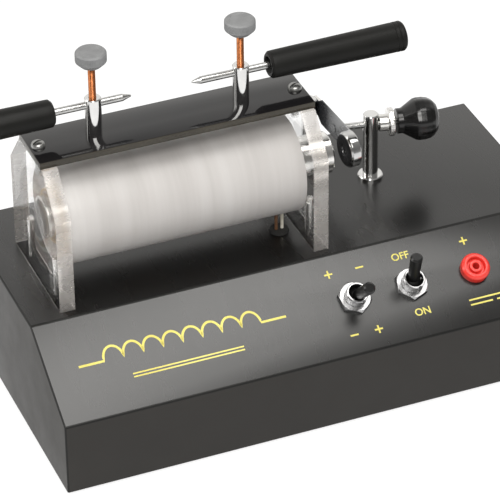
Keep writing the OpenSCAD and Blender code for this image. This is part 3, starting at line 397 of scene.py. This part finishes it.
def plain_metals():
    """Each has a name, a dark and a light tone, its roughness, and the scale of its pattern."""
    return {
        "brass": metal("tag_brass", (0.6, 0.42, 0.16), (0.75, 0.56, 0.26), (0.2, 0.35)),
        "chrome": metal("chrome_plate", (0.66, 0.66, 0.655), (0.78, 0.78, 0.77), (0.06, 0.12)),
        "nickel": metal("nickel_bright", (0.74, 0.73, 0.71), (0.86, 0.85, 0.83), (0.13, 0.24), 160),
        "rod": metal("rod_steel", (0.44, 0.44, 0.435), (0.56, 0.56, 0.55), (0.2, 0.3), 160),
        "dome": metal("dome_screws", (0.3, 0.3, 0.29), (0.42, 0.42, 0.41), (0.3, 0.42), 200),
        "plated": metal("switch_plated", (0.34, 0.34, 0.345), (0.46, 0.46, 0.465), (0.24, 0.34), 200, 0.001),
        "zinc": metal("zinc_screws", (0.5, 0.5, 0.49), (0.68, 0.68, 0.66), (0.25, 0.4), 200),
        "iron": metal("hammer_iron", (0.5, 0.5, 0.5), (0.66, 0.66, 0.65), (0.1, 0.2), 120),
        # hammer_face_painted_reflection is a painted dark reflection: the polished face would mirror the dark
        # base and cheek
        "face": metal("hammer_face_painted_reflection", (0.05, 0.05, 0.055), (0.09, 0.09, 0.095), (0.12, 0.22), 120),
        "copper": metal("copper_screw", (0.34, 0.12, 0.045), (0.47, 0.172, 0.068), (0.28, 0.42), 140),
    }


def make_materials():
    looks = {
        "console": console_plastic(), "bridge": bridge_black(), "bridge_edge": bridge_edge(),
        "acrylic": clear_acrylic(), "acrylic_edge": sawn_acrylic(), "sleeve": sleeve_silver(),
        "winding": winding_varnish(), "wire": copper_wire(), "core": core_iron(), "lead": lead_insulation(),
        "reed": reed_steel(), "head": head_aluminium(), "handle": handle_black(),
    }
    looks.update(plain_plastics())
    looks.update(plain_metals())
    return {key: look.material for key, look in looks.items()}


MAT = make_materials()

# ------------------------------------------------------------------ mesh helpers

AT_AXIS = 1e-6  # a smaller radius is a point on the axis


def rounded(points, steps=5):
    """Rounds the corners of a profile of (r, z) and (r, z, fillet). Its ends have no fillet."""
    out = []
    for i, point in enumerate(points):
        if len(point) < 3:
            out.append(point)
            continue
        before, corner, after = (Vector(q[:2]) for q in points[i - 1:i + 2])
        u, v = (before - corner).normalized(), (after - corner).normalized()
        half = u.angle(v) / 2
        run = min(point[2] / math.tan(half), (before - corner).length * 0.49, (after - corner).length * 0.49)
        radius = run * math.tan(half)
        centre = corner + (u + v).normalized() * (radius / math.sin(half))
        start, end = corner + u * run - centre, corner + v * run - centre
        angle = start.angle(end)
        sign = 1 if start.x * end.y - start.y * end.x > 0 else -1
        for s in range(steps + 1):
            q = centre + Matrix.Rotation(sign * angle * s / steps, 2) @ start
            out.append((q.x, q.y))
    return out


def lathe(bm, profile, matrix, seg=96, shape=None, mat=None, closed=False):
    """Turns a profile about local z, and closed joins its ends.

    shape(r, z, angle) may change a radius, and mat(row) picks a row's material.
    """
    rings = []
    for r, z in profile:
        if r < AT_AXIS:
            rings.append([bm.verts.new(matrix @ Vector((0, 0, z)))])
            continue
        ring = []
        for i in range(seg):
            angle = 2 * math.pi * i / seg
            q = shape(r, z, angle) if shape else r
            ring.append(bm.verts.new(matrix @ Vector((q * math.cos(angle), q * math.sin(angle), z))))
        rings.append(ring)
    pairs = list(zip(rings, rings[1:]))
    if closed:
        pairs.append((rings[-1], rings[0]))
    for row, (a, b) in enumerate(pairs):
        for i in range(seg):
            j = (i + 1) % seg
            corners = [a[0]] if len(a) == 1 else [a[i], a[j]]
            corners += [b[0]] if len(b) == 1 else [b[j], b[i]]
            face = bm.faces.new(corners)
            if mat:
                face.material_index = mat(row)


def grooves(count, depth, inner_r, span=None, fades=(1, 1)):
    """A shape for lathe(): grooves outside inner_r, all along or over a span of z that they fade into."""

    def shape(r, z, angle):
        if r < inner_r or (span and not span[0] <= z <= span[1]):
            return r
        fade = min(1, (z - span[0]) / fades[0], (span[1] - z) / fades[1]) if span else 1
        return r - depth * (1 - math.cos(count * angle)) / 2 * fade

    return shape


def thread(bm, r, z0, z1, matrix, depth, point=None, seg=36, rows_per_turn=6):
    """A screw's thread from z0 to z1, closed by flat ends. point is the tip's (radius, length) at z0."""
    rows = int((z1 - z0) / THREAD_PITCH * rows_per_turn)
    before = None
    for row in range(rows + 1):
        z = z0 + (z1 - z0) * row / rows
        ring = []
        for i in range(seg):
            angle = 2 * math.pi * i / seg
            phase = (z / THREAD_PITCH - i / seg) % 1.0
            q = r - depth if row in (0, rows) else r - depth * abs(2 * phase - 1)
            if point and z < z0 + point[1]:
                q = min(q, point[0] + (r - point[0]) * (z - z0) / point[1])
            ring.append(bm.verts.new(matrix @ Vector((q * math.cos(angle), q * math.sin(angle), z))))
        if before:
            for i in range(seg):
                j = (i + 1) % seg
                bm.faces.new((before[i], before[j], ring[j], ring[i]))
        else:
            bm.faces.new(ring[::-1])
        before = ring
    bm.faces.new(before)


def box(bm, low, high, matrix):
    size = Vector(high) - Vector(low)
    middle = (Vector(high) + Vector(low)) / 2
    for v in bmesh.ops.create_cube(bm, size=1)["verts"]:
        v.co = matrix @ (middle + Vector((v.co.x * size.x, v.co.y * size.y, v.co.z * size.z)))


def prism(bm, outline, x0, x1):
    """A closed outline in (y, z), extruded along X."""
    a = [bm.verts.new((x0, y, z)) for y, z in outline]
    b = [bm.verts.new((x1, y, z)) for y, z in outline]
    bm.faces.new(a)
    bm.faces.new(b[::-1])
    n = len(outline)
    for i in range(n):
        bm.faces.new((a[i], b[i], b[(i + 1) % n], a[(i + 1) % n]))


def cut(target, tool):
    """Subtracts one bmesh from another, both in mm, and returns the result."""
    pair = []
    for bm in (target, tool):
        bmesh.ops.recalc_face_normals(bm, faces=bm.faces)
        mesh = bpy.data.meshes.new("tmp")
        bm.to_mesh(mesh)
        bm.free()
        obj = bpy.data.objects.new("tmp", mesh)
        bpy.context.collection.objects.link(obj)
        pair.append(obj)
    modifier = pair[0].modifiers.new("cut", "BOOLEAN")
    modifier.operation = "DIFFERENCE"
    modifier.solver = "EXACT"
    modifier.object = pair[1]
    bpy.context.view_layer.update()
    done = bmesh.new()
    done.from_object(pair[0], bpy.context.evaluated_depsgraph_get())
    for obj in pair:
        mesh = obj.data
        bpy.data.objects.remove(obj)
        bpy.data.meshes.remove(mesh)
    return done


def drill(bm, matrix, r, z0, z1, seg=48):
    lathe(bm, [(0, z0), (r, z0), (r, z1), (0, z1)], matrix, seg)


def soften(bm, edges, width, steps, slot=-1):
    """Rounds edges. The new faces take a material slot, or with -1 that of their neighbours."""
    bmesh.ops.bevel(
        bm, geom=list(edges), offset=width, segments=steps, profile=0.5,
        affect="EDGES", clamp_overlap=True, material=slot,
    )


def piece(name, bm, mats, body, nodes=(), sharp=35):
    """Turns a bmesh in mm into a piece that rides on a body and stands for its nodes."""
    bmesh.ops.scale(bm, vec=(MM, MM, MM), verts=bm.verts)
    bmesh.ops.recalc_face_normals(bm, faces=bm.faces)
    mesh = bpy.data.meshes.new(name)
    bm.to_mesh(mesh)
    bm.free()
    for mat in mats:
        mesh.materials.append(MAT[mat])
    for polygon in mesh.polygons:
        polygon.use_smooth = True
    mesh.set_sharp_from_angle(angle=math.radians(sharp))
    obj = bpy.data.objects.new(name, mesh)
    bpy.context.collection.objects.link(obj)
    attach(obj, body)
    if nodes:
        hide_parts(*nodes)


# ------------------------------------------------------------------ console


def slope_inner_z(run):
    """Height of the slope's inner face over the rim, at a distance from the front."""
    return FRONT_H + run * math.tan(PANEL) - WALL / math.cos(PANEL)


def console_body():
    """The housing with its rounded folds in slot 1, hollow and open below."""
    bm = bmesh.new()
    outline = [
        (-Y_SIDE, RIM_Z), (-Y_SIDE, FRONT_Z), (-Y_SIDE + PANEL_RUN, DECK_Z),
        (Y_SIDE, DECK_Z), (Y_SIDE, RIM_Z),
    ]
    prism(bm, outline, -X_SIDE, X_SIDE)
    upper = [e for e in bm.edges if max(v.co.z for v in e.verts) > RIM_Z + 1]
    soften(bm, upper, FOLD_R, 4, slot=1)
    inner_run = (CONSOLE_H - WALL - FRONT_H + WALL / math.cos(PANEL)) / math.tan(PANEL)
    hollow = bmesh.new()
    outline = [
        (-Y_SIDE + WALL, -OVERSHOOT), (-Y_SIDE + WALL, RIM_Z + slope_inner_z(WALL)),
        (-Y_SIDE + inner_run, DECK_Z - WALL), (Y_SIDE - WALL, DECK_Z - WALL), (Y_SIDE - WALL, -OVERSHOOT),
    ]
    prism(hollow, outline, -X_SIDE + WALL, X_SIDE - WALL)
    return cut(bm, hollow)


def console_holes():
    holes = bmesh.new()
    spots = [(x, y, M4_HOLE_R) for x in CHEEK_XS for y in CHEEK_SCREW_YS]
    spots += [(REED_POST_X, REED_POST_Y, M5_HOLE_R), (PILLAR_X, PILLAR_Y, M5_HOLE_R)]
    spots += [(LEADS_X, LEADS_Y, LEAD_HOLE_R)]
    for x, y, r in spots:
        drill(holes, shift(x, y, DECK_Z), r, -WALL - OVERSHOOT, OVERSHOOT)
    for x, r in [(x, BUSH_HOLE_R) for x in SWITCHES] + [(x, SOCKET_HOLE_R) for x in SOCKETS]:
        drill(holes, on_panel(x), r, -2 * WALL, WALL)
    return holes


def build_console():
    bm = cut(console_body(), console_holes())
    bm.normal_update()
    for face in bm.faces:  # upright faces, apart from the folds, are walls
        if face.material_index == 0 and abs(face.normal.z) < 0.1:
            face.material_index = 2
    for sx in (-1, 1):
        for sy, top in ((-1, FRONT_BOSS_TOP), (1, BACK_BOSS_TOP)):
            boss = [(BOSS_HOLE_R, PLATE_TOP), (BOSS_R, PLATE_TOP), (BOSS_R, top), (BOSS_HOLE_R, top)]
            at = shift(sx * (X_SIDE - BOSS_INSET), sy * (Y_SIDE - BOSS_INSET), 0)
            lathe(bm, boss, at, 32, closed=True)
    mats = ["console", "fold", "wall"]
    piece("console_housing", bm, mats, "console", ["console_shell"], sharp=40)


# ------------------------------------------------------------------ coil unit


def cheek_outline():
    return [
        (COIL_Y - CHEEK_HALF, DECK_Z), (COIL_Y - CHEEK_HALF, DECK_Z + SHOULDER_H),
        (COIL_Y - CHEEK_TOP_HALF, CHEEK_TOP), (COIL_Y + CHEEK_TOP_HALF, CHEEK_TOP),
        (COIL_Y + CHEEK_HALF, DECK_Z + SHOULDER_H), (COIL_Y + CHEEK_HALF, DECK_Z),
    ]


def build_cheeks():
    """The left cheek has a blind seat on the coil's axis, and the right one a hole right through."""
    for name, x0, seat in (
        ("left_end_cheek", COIL_LEFT - CHEEK_T, (COIL_LEFT - SEAT_DEPTH, COIL_LEFT + OVERSHOOT)),
        ("right_end_cheek", COIL_RIGHT, (COIL_RIGHT - OVERSHOOT, COIL_RIGHT + CHEEK_T + OVERSHOOT)),
    ):
        bm = bmesh.new()
        prism(bm, cheek_outline(), x0, x0 + CHEEK_T)
        bm.normal_update()
        for face in bm.faces:
            face.material_index = 0 if abs(face.normal.x) > 0.9 else 1
        soften(bm, bm.edges, CHEEK_EDGE_R, 2, slot=1)
        holes = bmesh.new()
        drill(holes, ON_AXIS @ TO_X, SEAT_R, *seat, seg=96)
        middle = x0 + CHEEK_T / 2
        for y in CHEEK_SCREW_YS:
            drill(holes, shift(middle, y, DECK_Z), M4_HOLE_R, -OVERSHOOT, CHEEK_SCREW_DEPTH, seg=32)
        drill(holes, shift(middle, COIL_Y, CHEEK_TOP), M4_HOLE_R, -BRIDGE_SCREW_DEPTH, OVERSHOOT, seg=32)
        mats = ["acrylic", "acrylic_edge"]
        piece(name + "_clear", cut(bm, holes), mats, "console", [name], sharp=25)


def build_bridge():
    bm = bmesh.new()
    y0, y1 = COIL_Y - BRIDGE_HALF, COIL_Y + BRIDGE_HALF
    outline = [(y0, CHEEK_TOP), (y0, BRIDGE_TOP), (y1, BRIDGE_TOP), (y1, CHEEK_TOP)]
    prism(bm, outline, COIL_LEFT - CHEEK_T - BRIDGE_OVERHANG, COIL_RIGHT + CHEEK_T + BRIDGE_OVERHANG)
    soften(bm, bm.edges, BRIDGE_EDGE_R, 2)
    holes = bmesh.new()
    for x, r in [(x, M4_HOLE_R) for x in CHEEK_XS] + [(x, M5_HOLE_R) for x in (POST_LEFT, POST_RIGHT)]:
        drill(holes, shift(x, COIL_Y, CHEEK_TOP), r, -OVERSHOOT, 6, seg=32)
    bm = cut(bm, holes)
    bm.normal_update()
    for face in bm.faces:
        face.material_index = 0 if face.normal.z > 0.6 else 1
    mats = ["bridge", "bridge_edge"]
    piece("bridge_polished", bm, mats, "console", ["bridge_plate"], sharp=30)


def dome_profile(steps=8):
    """A screw from its shank's end up to the top of its domed head, before its slot is cut."""
    profile = [(0, -16), (1.6, -16), (2, -15.6), (2, 0), (DOME_R, 0), (DOME_R, DOME_EDGE)]
    for i in range(1, steps + 1):
        r = DOME_R * (1 - i / steps)
        profile.append((r, DOME_EDGE + DOME_RISE * math.sqrt(max(0, 1 - (r / DOME_R) ** 2))))
    return profile


def build_bridge_screws():
    both = bmesh.new()
    for x in CHEEK_XS:
        at = shift(x, COIL_Y, BRIDGE_TOP)
        screw = bmesh.new()
        lathe(screw, dome_profile(), at, 48)
        slit = bmesh.new()
        box(slit, *DOME_SLOT, at @ turn(DOME_SLOT_TURN, "Z"))
        screw = cut(screw, slit)
        mesh = bpy.data.meshes.new("tmp")
        screw.to_mesh(mesh)
        screw.free()
        both.from_mesh(mesh)
        bpy.data.meshes.remove(mesh)
    piece("bridge_dome_screws", both, ["dome"], "console", ["bridge_screws"], sharp=30)


def build_sleeve():
    bm = bmesh.new()
    inner = SLEEVE_R - SLEEVE_T
    profile = rounded([
        (inner, COIL_LEFT + SLEEVE_LAP), (inner, COIL_LEFT, 0.2), (SLEEVE_R, COIL_LEFT, 0.25),
        (SLEEVE_R, COIL_RIGHT, 0.25), (inner, COIL_RIGHT, 0.2), (inner, COIL_RIGHT - SLEEVE_LAP),
    ], 3)
    lathe(bm, profile, ON_AXIS @ TO_X, 160, closed=True)
    holes = bmesh.new()
    for side in (-0.5, 0.5):
        drill(holes, shift(LEADS_X + side * LEAD_PITCH, LEADS_Y, DECK_Z), LEAD_R, 0, 30, seg=24)
    for x in (POST_LEFT, POST_RIGHT):
        drill(holes, shift(x, TAG_Y, AXIS_Z), TAG_R, 10, 40, seg=24)
    bm = cut(bm, holes)
    piece("coil_film", bm, ["sleeve"], "console", ["coil_sleeve"], sharp=40)


# ------------------------------------------------------------------ spark gap

ROD = [(0, 0), (0.5, 0, 0.2), (ROD_R, 5.0, 1.0), (ROD_R, ROD_L, 0.2), (0, ROD_L)]

# From the bore's end, over the front and along the barrel, to the end with its two turned grooves.
GRIP = [
    (2.1, 60.1), (2.1, 3.2, 0.2), (3.2, 2.6, 0.3), (4.6, 0.35, 0.3), (5.2, 0, 0.25), (6.1, 0, 0.3),
    (7.35, 1.3, 0.4), (7.45, 4, 1), (8.12, 71.2, 0.15), (7.9, 71.5, 0.1), (7.9, 72.0, 0.1),
    (8.16, 72.3, 0.15), (8.17, 73.6, 0.15), (7.9, 73.9, 0.1), (7.9, 74.4, 0.1), (8.18, 74.7, 0.3),
    (8.2, 76.2, 0.8), (7.4, 77.3, 0.6), (3.0, 77.2, 0.6), (2.4, 76.9), (0, 76.9),
]

# From the screw's seat, along the conical underside and up the knurled rim, to the shallow dish on top.
CLAMP_HEAD = [
    (2.1, 5.56), (2.1, 0, 0.1), (4.1, 0, 0.3), (5.4, 0.75, 0.5), (7.35, 2.74, 0.5), (8.25, 3.64, 0.4),
    (8.25, 6.0), (8.25, 8.2, 0.35), (7.4, 9.1, 0.5), (5.6, 9.1, 0.2), (5.4, 8.95, 0.2), (0, 8.95),
]


def build_spark_rod(side, x, sign, reach):
    along = shift(x + sign * reach, COIL_Y, ROD_Z) @ (TO_MINUS_X if sign > 0 else TO_X)
    body = side + "_spark_rod"
    bm = bmesh.new()
    lathe(bm, rounded(ROD), along, 48)
    piece(side + "_rod_plated", bm, ["rod"], body, [side + "_rod"])
    bm = bmesh.new()
    lathe(bm, rounded(GRIP, 4), along @ shift(0, 0, GRIP_START), 96)
    piece(side + "_grip", bm, ["handle"], body, [side + "_handle"])


def build_clamp(side, x):
    at, body = shift(x, COIL_Y, 0), side + "_clamp"
    bm = bmesh.new()
    thread(bm, SCREW_R, ROD_Z + ROD_R + CLAMP_GAP, CLAMP_HEAD_Z + CLAMP_SEAT_H, at, depth=0.3)
    piece(side + "_clamp_thread", bm, ["copper"], body, [side + "_clamp_screw"], sharp=60)
    bm = bmesh.new()
    knurl = grooves(60, 0.16, inner_r=7.6, span=(2.2, 8.7), fades=(1.2, 0.5))
    lathe(bm, rounded(CLAMP_HEAD), at @ shift(0, 0, CLAMP_HEAD_Z), 240, knurl)
    piece(side + "_clamp_knurled", bm, ["head"], body, [side + "_clamp_head"])


# ------------------------------------------------------------------ interrupter

# From the reed's side, through the rivet's hole and recess, over the face at z = 0, and up the rim.
HAMMER = [
    (1.6, 6.0), (1.6, 1.0), (3.0, 1.0), (3.0, 0, 0.1), (8.9, 0, 0.15), (9.2, 0.25, 0.2), (10.0, 1.1, 0.4),
    (10.0, 5.5, 0.4), (9.5, 6.0),
]
PAINTED_REFLECTION_Z = 0.12  # the painted dark reflection on the face ends here

# The peened end is part of an ellipse round (0, 7.2), with points at three angles.
RIVET = [
    (0, 0.3), (2.9, 0.3, 0.15), (2.9, 0.98), (1.5, 0.98), (1.5, 6.8), (3.0, 6.8), (3.0, 7.25, 0.3),
    *((3.0 * math.cos(angle), 7.2 + 0.6 * math.sin(angle)) for angle in (0.5, 0.9, 1.25)), (0, 7.8),
]

# From the screw's seat, over the collar and the waist, to the rounded end.
KNOB = [
    (2.1, 13.0), (2.1, 0), (6.7, 0, 0.3), (7.0, 0.4, 0.3), (7.0, 3.1, 0.8), (8.2, 5.0, 4.0),
    (11.4, 10.1, 2.5), (11.8, 12.0, 3.0), (11.75, 15.2, 3.0), (11.2, 18.2, 4.0), (10.0, 20.2, 3.0),
    (7.6, 22.3, 3.0), (3.8, KNOB_L, 3.0), (0, KNOB_L),
]

LOCKING_NUT = [
    (2.05, 12.65), (2.05, 4.35), (4.5, 4.35, 0.2), (4.7, 4.6, 0.2), (4.7, 9.35, 0.3), (7.3, 9.35, 0.3),
    (7.8, 9.85, 0.2), (7.8, 12.15, 0.2), (7.3, 12.65),
]


def build_hammer():
    at = ON_REED @ shift(-HAMMER_T, 0, 0) @ TO_X
    profile = rounded(HAMMER, 4)
    # The face's rows take a dark metal that paints the reflection of the dark base and cheek.
    painted_reflection_rows = [i for i, (_, z) in enumerate(profile) if z < PAINTED_REFLECTION_Z]
    bm = bmesh.new()
    lathe(bm, profile, at, 128, closed=True, mat=lambda row: int(painted_reflection_rows[0] <= row < painted_reflection_rows[-1]))
    piece("hammer_turned", bm, ["iron", "face"], "hammer_arm", ["hammer"])
    bm = bmesh.new()
    # The rivet takes the same painted dark reflection.
    lathe(bm, rounded(RIVET), at, 48)
    piece("hammer_rivet_peened", bm, ["face"], "hammer_arm", ["hammer_rivet"])


def build_contact_screw():
    """A fine thread with a plain point, its fluted knob and its knurled locking nut."""
    along, body = ON_CONTACT @ TO_X, "contact_adjuster"
    end = KNOB_START + KNOB_L * SCREW_IN_KNOB
    bm = bmesh.new()
    thread(bm, SCREW_R, -CONTACT_END, end, along, depth=0.25, point=CONTACT_TIP)
    piece("contact_screw_thread", bm, ["chrome"], body, ["contact_screw"], sharp=60)
    bm = bmesh.new()
    flutes = grooves(10, 0.35, inner_r=8.5, span=(6, 21.5), fades=(5, 2.5))
    lathe(bm, rounded(KNOB, 6), along @ shift(0, 0, KNOB_START), 160, flutes)
    piece("contact_knob_moulded", bm, ["knob"], body, ["contact_knob"])
    bm = bmesh.new()
    lathe(bm, rounded(LOCKING_NUT, 4), along, 224, grooves(56, 0.12, inner_r=7.4), closed=True)
    piece("locking_nut_knurled", bm, ["nickel"], "lock_ring", ["locking_nut"])


# ------------------------------------------------------------------ front panel

# From the neck's foot, over the head with its ring groove, down the lining of the 4 mm bore and back.
SOCKET = [
    (2.9, -9), (4.5, -9, 0.2), (4.5, 0), (8.0, 0, 0.1), (8.0, 3.6, 1.4), (6.6, 5.0, 0.8),
    (5.2, 5.0, 0.35), (4.96, 4.4), (4.96, 2.0, 0.3), (3.5, 2.0, 0.3), (3.5, 4.4, 0.3),
    (1.97, 4.4, 0.1), (1.97, -8.0), (2.04, -8.0), (2.04, 4.22), (2.9, 4.22),
]


def build_sockets():
    for x, colour in zip(SOCKETS, ("red", "black")):
        bm = bmesh.new()
        lathe(bm, rounded(SOCKET), on_panel(x), 96, closed=True)
        name = colour + "_socket"
        piece(name + "_moulded", bm, [colour], "console", [name])


def print_mark(name, bm, x, s):
    """Gives a flat drawing the thickness of a printed mark and lays it on the slope."""
    bmesh.ops.remove_doubles(bm, verts=bm.verts, dist=1e-4)
    for v in bmesh.ops.extrude_face_region(bm, geom=list(bm.faces))["geom"]:
        if isinstance(v, bmesh.types.BMVert):
            v.co.z += INK_T
    at = on_panel(x, s)
    for v in bm.verts:
        v.co = at @ v.co
    piece(name, bm, ["ink"], "console", sharp=30)


def print_word(name, word, x, s):
    curve = bpy.data.curves.new(name, "FONT")
    curve.body = word
    curve.align_x, curve.align_y = "CENTER", "CENTER"
    curve.size = LETTER_H * 1.38  # the font's size over its capitals' height
    curve.offset = LETTER_H * 0.02  # thicker strokes
    obj = bpy.data.objects.new(name, curve)
    bpy.context.collection.objects.link(obj)
    bpy.context.view_layer.update()
    mesh = bpy.data.meshes.new_from_object(obj.evaluated_get(bpy.context.evaluated_depsgraph_get()))
    bpy.data.objects.remove(obj)
    bm = bmesh.new()
    bm.from_mesh(mesh)
    bpy.data.meshes.remove(mesh)
    print_mark(name, bm, x, s)


def stroke(bm, points, width):
    """A flat line of even width through points in (x, y)."""
    points = [Vector(p) for p in points]
    left, right = [], []
    for i, p in enumerate(points):
        along = (points[min(i + 1, len(points) - 1)] - points[max(i - 1, 0)]).normalized()
        n = Vector((-along.y, along.x)) * width / 2
        left.append(bm.verts.new((p.x + n.x, p.y + n.y, 0)))
        right.append(bm.verts.new((p.x - n.x, p.y - n.y, 0)))
    for i in range(len(points) - 1):
        bm.faces.new((right[i], right[i + 1], left[i + 1], left[i]))


def coil_line(steps=16):
    """The sign for a coil: half turns, taller than they are wide, and a tail at each end."""
    start = -COIL_TURNS * COIL_PITCH / 2
    line = [(start - COIL_TAIL, COIL_FOOT), (start, COIL_FOOT)]
    for i in range(COIL_TURNS):
        for k in range(1, steps + 1):
            angle = math.pi - math.pi * k / steps
            x = start + (i + 0.5) * COIL_PITCH + COIL_PITCH / 2 * math.cos(angle)
            line.append((x, COIL_FOOT + COIL_RISE * math.sin(angle)))
    return line + [(-start + COIL_TAIL, COIL_FOOT)]


def build_marks():
    """Plain circuit marks: an iron-cored coil, direct current, plus and minus, OFF and ON."""
    bm = bmesh.new()
    stroke(bm, coil_line(), COIL_WIDTH)
    print_mark("mark_coil", bm, *COIL_MARK)

    bm = bmesh.new()
    for y in (CORE_GAP / 2, -CORE_GAP / 2):
        stroke(bm, [(-CORE_HALF, y), (CORE_HALF, y)], CORE_WIDTH)
    print_mark("mark_core", bm, *CORE_MARK)

    bm = bmesh.new()
    y = DIRECT_GAP / 2
    stroke(bm, [(-DIRECT_HALF, y), (DIRECT_HALF, y)], DIRECT_WIDTH)
    for x in (-DASH_STEP, 0, DASH_STEP):
        stroke(bm, [(x - DASH_HALF, -y), (x + DASH_HALF, -y)], DIRECT_WIDTH)
    print_mark("mark_direct_current", bm, *DIRECT_MARK)

    for number, (sign, x, s) in enumerate(SIGNS, 1):
        bm = bmesh.new()
        stroke(bm, [(-SIGN_HALF, 0), (SIGN_HALF, 0)], SIGN_WIDTH)
        if sign == "plus":
            stroke(bm, [(0, SIGN_WIDTH / 2), (0, SIGN_HALF)], SIGN_WIDTH)
            stroke(bm, [(0, -SIGN_HALF), (0, -SIGN_WIDTH / 2)], SIGN_WIDTH)
        print_mark(f"mark_sign_{number}", bm, x, s)

    print_word("mark_off", "OFF", *OFF_MARK)
    print_word("mark_on", "ON", *ON_MARK)


# ------------------------------------------------------------------ CAD nodes that stay

DRESS = {
    "base_plate": "plate", "base_plate_screws": "zinc", "rubber_feet": "rubber", "cheek_screws": "nickel",
    "coil_end_discs": "disc", "secondary_winding": "winding", "insulating_tube": "tube",
    "primary_winding": "wire", "iron_core": "core", "core_cap": "nickel", "primary_leads": "lead",
    "lead_grommet": "rubber", "secondary_leads": "brass", "post_nuts": "nickel", "left_post": "chrome",
    "right_post": "chrome", "reed": "reed", "contact_rivet": "reed", "reed_root": "reed",
    "reed_clamp_plate": "nickel", "reed_clamp_screws": "zinc", "reed_post": "chrome",
    "contact_pillar": "chrome", "pillar_collar": "chrome", "pillar_nuts": "nickel",
    "reversing_switch_body": "body", "reversing_switch_bush": "plated", "reversing_switch_nut": "plated",
    "reversing_switch_lever": "lever", "onoff_switch_body": "body", "onoff_switch_bush": "plated",
    "onoff_switch_nut": "plated", "onoff_switch_lever": "lever", "lever_pivot_pins": "zinc",
    "socket_tubes": "brass", "socket_nuts": "nickel", "capacitor": "capacitor",
    "capacitor_strap": "zinc", "strap_screws": "zinc",
}


def dress_nodes():
    for name, mat in DRESS.items():
        for material_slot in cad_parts[name].material_slots:
            material_slot.material = MAT[mat]


# ------------------------------------------------------------------ stage, in metres

WARM = (1, 0.985, 0.955)

# Brightness of the studio from the horizon (0) to overhead (1), before and behind the object.
STUDIO_FRONT = ((0.0, 0.3), (0.3, 0.17), (1.0, 0.3))
STUDIO_BACK = ((0.0, 0.55), (0.25, 0.95), (0.7, 0.9), (0.97, 0.3))

# Soft lights: name, place, what it points at, size and watts.
LIGHTS = (
    ("overhead", (0.1, -0.3, 1.2), (0, -0.1, 0.05), (1.0, 0.45), 7.6),
    ("front", (-0.3, -1.02, 1.2), (0, 0, 0.1), (0.9, 0.5), 15.0),
    ("left", (-1.4, 0.25, 0.85), (-0.15, 0, 0.1), (0.9, 0.7), 10.0),
)

# The photograph's camera, as fitted to the edges of the console and the coil unit.
CAMERA_PLACE = (-0.57561, -1.40056, 1.09629)
CAMERA_RIGHT = (0.92554075, -0.3785011, -0.01054653)
CAMERA_UP = (0.22135086, 0.51824647, 0.82608982)
CAMERA_LENS_MM, CAMERA_SENSOR_MM = 244.37, 36
CAMERA_NEAR, CAMERA_FAR = 0.05, 30


def lay_floor():
    look = Maker("floor_white", Roughness=0.9, Specular_IOR_Level=0.0, Emission_Strength=0.78)
    look.colour(look.shade(look.noise(2), (0.24, 0.24, 0.24), (0.26, 0.26, 0.26)))
    look.shader.inputs["Emission Color"].default_value = (1, 1, 1, 1)
    mesh = bpy.data.meshes.new("floor")
    bm = bmesh.new()
    bmesh.ops.create_grid(bm, x_segments=1, y_segments=1, size=6)
    bm.to_mesh(mesh)
    bm.free()
    mesh.materials.append(look.material)
    floor = bpy.data.objects.new("floor", mesh)
    bpy.context.collection.objects.link(floor)


def surround():
    """A studio round the object: bright behind it, dim in front."""
    world = bpy.data.worlds.new("studio")
    bpy.context.scene.world = world
    world.use_nodes = True
    tree = world.node_tree
    direction = add_node(tree, "TexCoord", {}).outputs["Generated"]
    _, depth, height = add_node(tree, "SeparateXYZ", {0: direction}).outputs
    across = add_node(tree, "MapRange", {"From Min": -0.1, "From Max": 0.5, "Value": depth}).outputs["Result"]
    front, back = (
        add_ramp(tree, height, [(at, [value * tone for tone in WARM]) for at, value in stops])
        for stops in (STUDIO_FRONT, STUDIO_BACK)
    )
    sky = tree.nodes["Background"]
    sky.inputs["Strength"].default_value = 1.1
    tree.links.new(add_mix(tree, across, front, back), sky.inputs["Color"])


def hang_lights():
    for name, place, target, size, watts in LIGHTS:
        light = bpy.data.lights.new(name, "AREA")
        light.shape = "RECTANGLE"
        light.size, light.size_y = size
        light.energy = watts
        light.color = WARM
        obj = bpy.data.objects.new(name, light)
        bpy.context.collection.objects.link(obj)
        obj.location = place
        obj.rotation_euler = (Vector(target) - Vector(place)).to_track_quat("-Z", "Y").to_euler()


def place_camera():
    camera = bpy.data.cameras.new("camera")
    camera.lens, camera.sensor_width = CAMERA_LENS_MM, CAMERA_SENSOR_MM
    camera.clip_start, camera.clip_end = CAMERA_NEAR, CAMERA_FAR
    obj = bpy.data.objects.new("camera", camera)
    bpy.context.collection.objects.link(obj)
    right, up = Vector(CAMERA_RIGHT), Vector(CAMERA_UP)
    matrix = Matrix((right, up, right.cross(up))).transposed().to_4x4()
    matrix.translation = CAMERA_PLACE
    obj.matrix_world = matrix
    bpy.context.scene.camera = obj
    bpy.context.scene.view_settings.view_transform = "Standard"


# ------------------------------------------------------------------ the whole scene

build_console()
build_cheeks()
build_bridge()
build_bridge_screws()
build_sleeve()
for side, x, sign, reach in SPARK_SIDES:
    build_spark_rod(side, x, sign, reach)
    build_clamp(side, x)
build_hammer()
build_contact_screw()
build_sockets()
build_marks()
dress_nodes()
lay_floor()
surround()
hang_lights()
place_camera()
